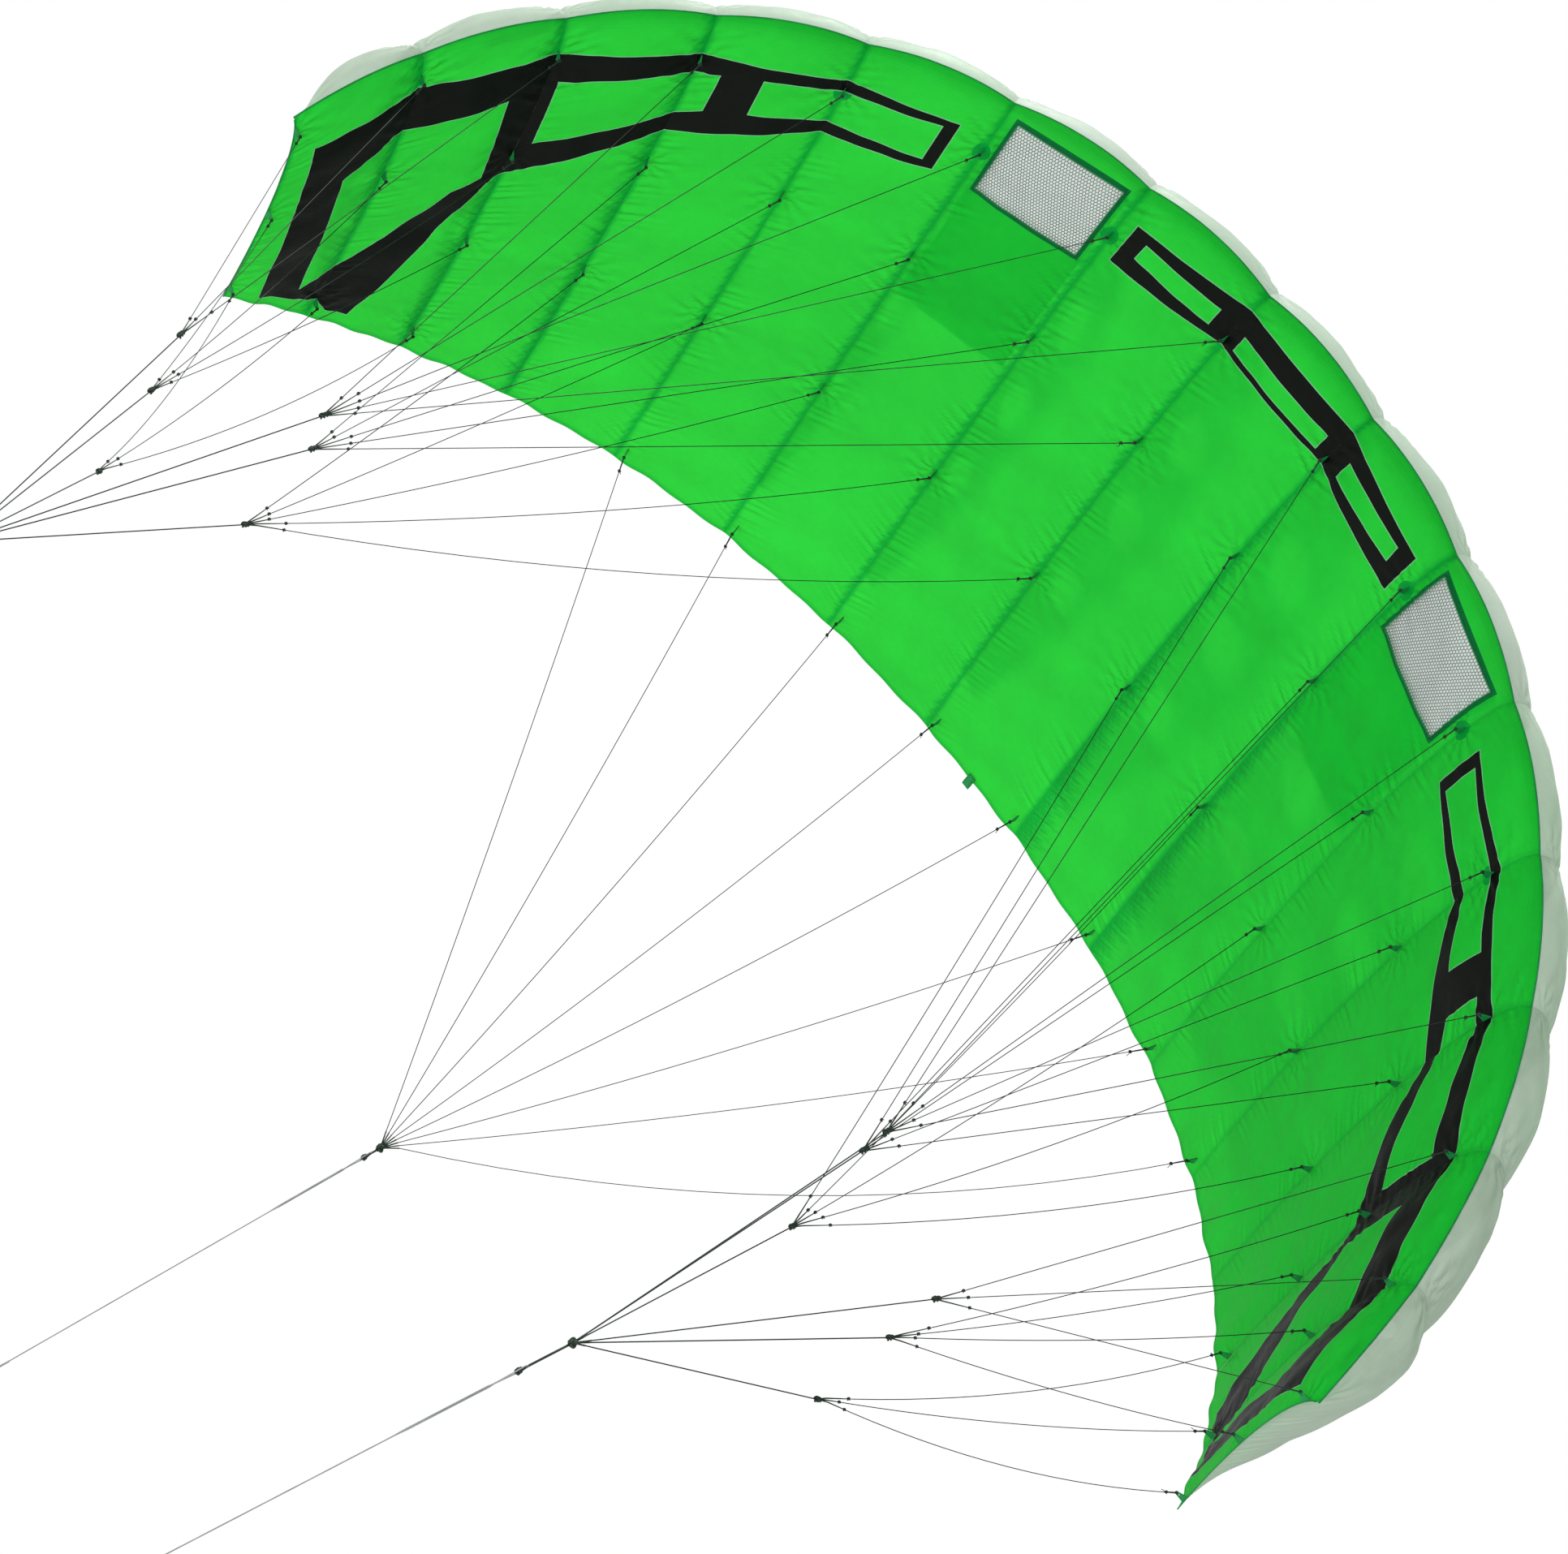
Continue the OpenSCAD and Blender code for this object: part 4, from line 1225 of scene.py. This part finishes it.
def add_lines():
    made, sleeves = [], {"right": [], "left": []}
    for name, half in HALVES.items():
        for line, knot, points in bridle_lines(half):
            made.append((path_length(points), line, points, BRIDLE_D, "canopy", "bridle_line"))
            sleeves[name] += end_parts(points)
            sleeves[name] += fan_parts(points, at(KNOTS[knot], half), 0.03 + 0.009 * (len(made) % 4))
        for line, points in main_lines(half):
            made.append((path_length(points), line, points, MAIN_D, "canopy", "bridle_line"))
            tow = at(TOW_POINT, half)
            ahead = unit(points[0] - points[-1])
            sleeves[name] += [knot_parts(points[0], ahead, 0.004),
                              knot_parts(points[0] + ahead * 0.006, ahead, 0.0036)]
            sleeves[name] += [tube_parts([points[-1], points[-1] * 0.2 + tow * 0.8], 0.0014, 6)]
        for line, points in brake_branches(half):
            body = line.replace("brake_branch", "branch")
            made.append((path_length(points), body + "_line", points, BRIDLE_D, body, "bridle_line"))
            end = points[-1] * 0.2 + at(BRAKE_POINT) * 0.8
            parts = end_parts(points) + [tube_parts([points[-1], end], 0.0012, 6)]
            add_parts(line.replace("branch", "sleeve"), parts, SLEEVE, body, "bridle_line")
        add_parts(f"line_sleeves_{name}", sleeves[name], SLEEVE, "canopy", "bridle_line",
                  f"bridle_{name}")
    made.sort(key=lambda m: -m[0])
    for i, (_, name, points, d, body, slot) in enumerate(made):
        cord = add_line(name, points, d, LINE, body, slot)
        if i < DECLARED:
            declare(cord, points, d)
        if body != "canopy":
            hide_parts("brake_" + body)
        elif name.startswith("main"):
            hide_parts(f"main_lines_{name.split('_')[1]}")


LOOP_R, LOOP_UP, THROAT, SPLICE, END_R = 0.0075, 0.009, 0.044, 0.2, 0.01
PIGTAIL_R = 0.0018
BRAKE_PIGTAIL = 0.036
WEBBING_HALF = 0.0004
# From the stopper knot to the end loop
POWER_LENGTH, BRAKE_LENGTH = {"right": 0.6, "left": 0.215}, 0.769


def side_of(direction):
    return unit(np.cross(direction, (1, 0, 0)))


def add_flying_line(name, knot, direction, length):
    """A loop round a stopper knot, a spliced sleeve, the line, and an end loop."""
    direction = unit(direction)
    side = side_of(direction)
    turn = np.linspace(math.pi, 2 * math.pi, 15)
    bow = [knot - direction * LOOP_UP + LOOP_R * (side * math.cos(t) + direction * math.sin(t))
           for t in turn]
    throat = knot + direction * THROAT
    legs = [throat, knot + side * LOOP_R * -0.55 + direction * 0.012, *bow,
            knot + side * LOOP_R * 0.55 + direction * 0.012, throat]
    splice = [throat - direction * 0.004, throat + direction * 0.004,
              knot + direction * (SPLICE - 0.02), knot + direction * SPLICE]
    start = [tube_parts(legs, 0.001), tube_parts(splice, np.array([1.2, 2.0, 1.9, 1.1]) * MM, 10)]
    add_parts(name + "_splice", start, FLYING, name, "flying_line")
    end = knot + direction * length
    ring = [end + direction * END_R + END_R * (side * math.cos(t) - direction * math.sin(t))
            for t in np.linspace(math.pi / 2, 2.5 * math.pi, 33)]
    whip = [end - direction * 0.03, end - direction * 0.001]
    parts = [tube_parts(ring, 0.0012), tube_parts(whip, 0.0017, 10), knot_parts(end, direction, 0.0024)]
    loop = add_parts(name + "_end_loop", parts, FLYING, name, "flying_line")
    points = route(throat, end)
    cord = add_line(name + "_cord", points, MAIN_D, FLYING, name, "flying_line")
    declare(cord, points, MAIN_D)
    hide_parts(name)


def add_pigtail(name, top, bottom, body):
    """A short thick cord down to its stopper knot."""
    ahead = unit(bottom - top)
    parts = [tube_parts([top, (top + bottom) / 2, bottom], PIGTAIL_R, 10),
             knot_parts(top, ahead, 0.006), knot_parts(bottom, ahead, 0.0042),
             knot_parts(bottom - ahead * 0.004, ahead, 0.0036)]
    add_parts(name, parts, SLEEVE, body, "bridle_line")


def add_pull_tab():
    """A folded webbing loop that opens the rear edge."""
    low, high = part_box("pull_tab")
    mid = (low + high) / 2
    y = np.r_[np.linspace(low.y, high.y - 0.002, 12), np.linspace(high.y - 0.002, low.y, 12)]
    t = np.linspace(0, 1, 24)
    z = mid.z + 0.0016 * np.sin(2 * math.pi * t) * (0.4 + 0.6 * np.sin(math.pi * t))
    points, faces = [], []
    for a, b in zip(y, z):
        points += [(low.x, a, b + WEBBING_HALF), (high.x, a, b + WEBBING_HALF),
                   (high.x, a, b - WEBBING_HALF), (low.x, a, b - WEBBING_HALF)]
    for i in range(23):
        faces += [(4 * i + k, 4 * i + (k + 1) % 4, 4 * i + 4 + (k + 1) % 4, 4 * i + 4 + k) for k in range(4)]
    faces += [(3, 2, 1, 0), (92, 93, 94, 95)]
    obj = add_mesh("pull_tab_webbing", points, faces, [TAPE])
    tie(obj, "pull_tab", "green_webbing", "pull_tab")


# ---- Floor and light ----

SUN_FROM = (-0.58, -0.2, 0.78)
SUN_POWER, SUN_ANGLE = 6.3, math.radians(11)
FLOOR_SIZE, FLOOR_Z = 40, -7.6


def add_stage():
    bpy.ops.mesh.primitive_plane_add(size=FLOOR_SIZE, location=(0, 0, FLOOR_Z))
    floor = bpy.context.object
    floor.name = "floor"
    n = Nodes("floor")
    shader = n.add("ShaderNodeBsdfPrincipled")
    shader.inputs["Base Color"].default_value = (0.9, 0.9, 0.9, 1)
    shader.inputs["Roughness"].default_value = 0.9
    floor.data.materials.append(n.output(shader.outputs[0]))
    world = bpy.data.worlds.new("world")
    bpy.context.scene.world = world
    world.use_nodes = True
    world.node_tree.nodes["Background"].inputs["Color"].default_value = (1, 1, 1, 1)
    sun = bpy.data.lights.new("sun", "SUN")
    sun.energy = SUN_POWER
    sun.angle = SUN_ANGLE
    lamp = bpy.data.objects.new("sun", sun)
    lamp.rotation_euler = Vector(SUN_FROM).to_track_quat("Z", "Y").to_euler()
    bpy.context.scene.collection.objects.link(lamp)
    bpy.context.scene.view_settings.view_transform = "Standard"


add_camera()
add_lines()
for half_name, half in HALVES.items():
    add_flying_line(f"power_line_{half_name}", at(LINE_KNOT, half), on_side(PULL_DIR, half),
                    POWER_LENGTH[half_name])
    add_pigtail(f"pigtail_{half_name}", at(TOW_POINT, half), at(LINE_KNOT, half), "canopy")
BRAKE_KNOT = at(BRAKE_POINT) + unit(BRAKE_DIR) * BRAKE_PIGTAIL
add_flying_line("brake_line", BRAKE_KNOT, BRAKE_DIR, BRAKE_LENGTH)
add_pigtail("brake_pigtail", at(BRAKE_POINT), BRAKE_KNOT, "brake_line")

for number in range(-HALF_CELLS, HALF_CELLS + 1):
    add_lower_skin(number)
    add_upper_skin(number)
for number in range(HALF_CELLS):
    add_rib(number, 1)
    add_rib(number, -1)
add_window(VENT_CELL)
add_window(-VENT_CELL)
add_piping()
add_brake_tabs()
add_pull_tab()
for row in TAB_RIBS:
    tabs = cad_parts[f"tabs_{row}"]
    tabs.data.materials.clear()
    tabs.data.materials.append(TAPE)
add_stage()
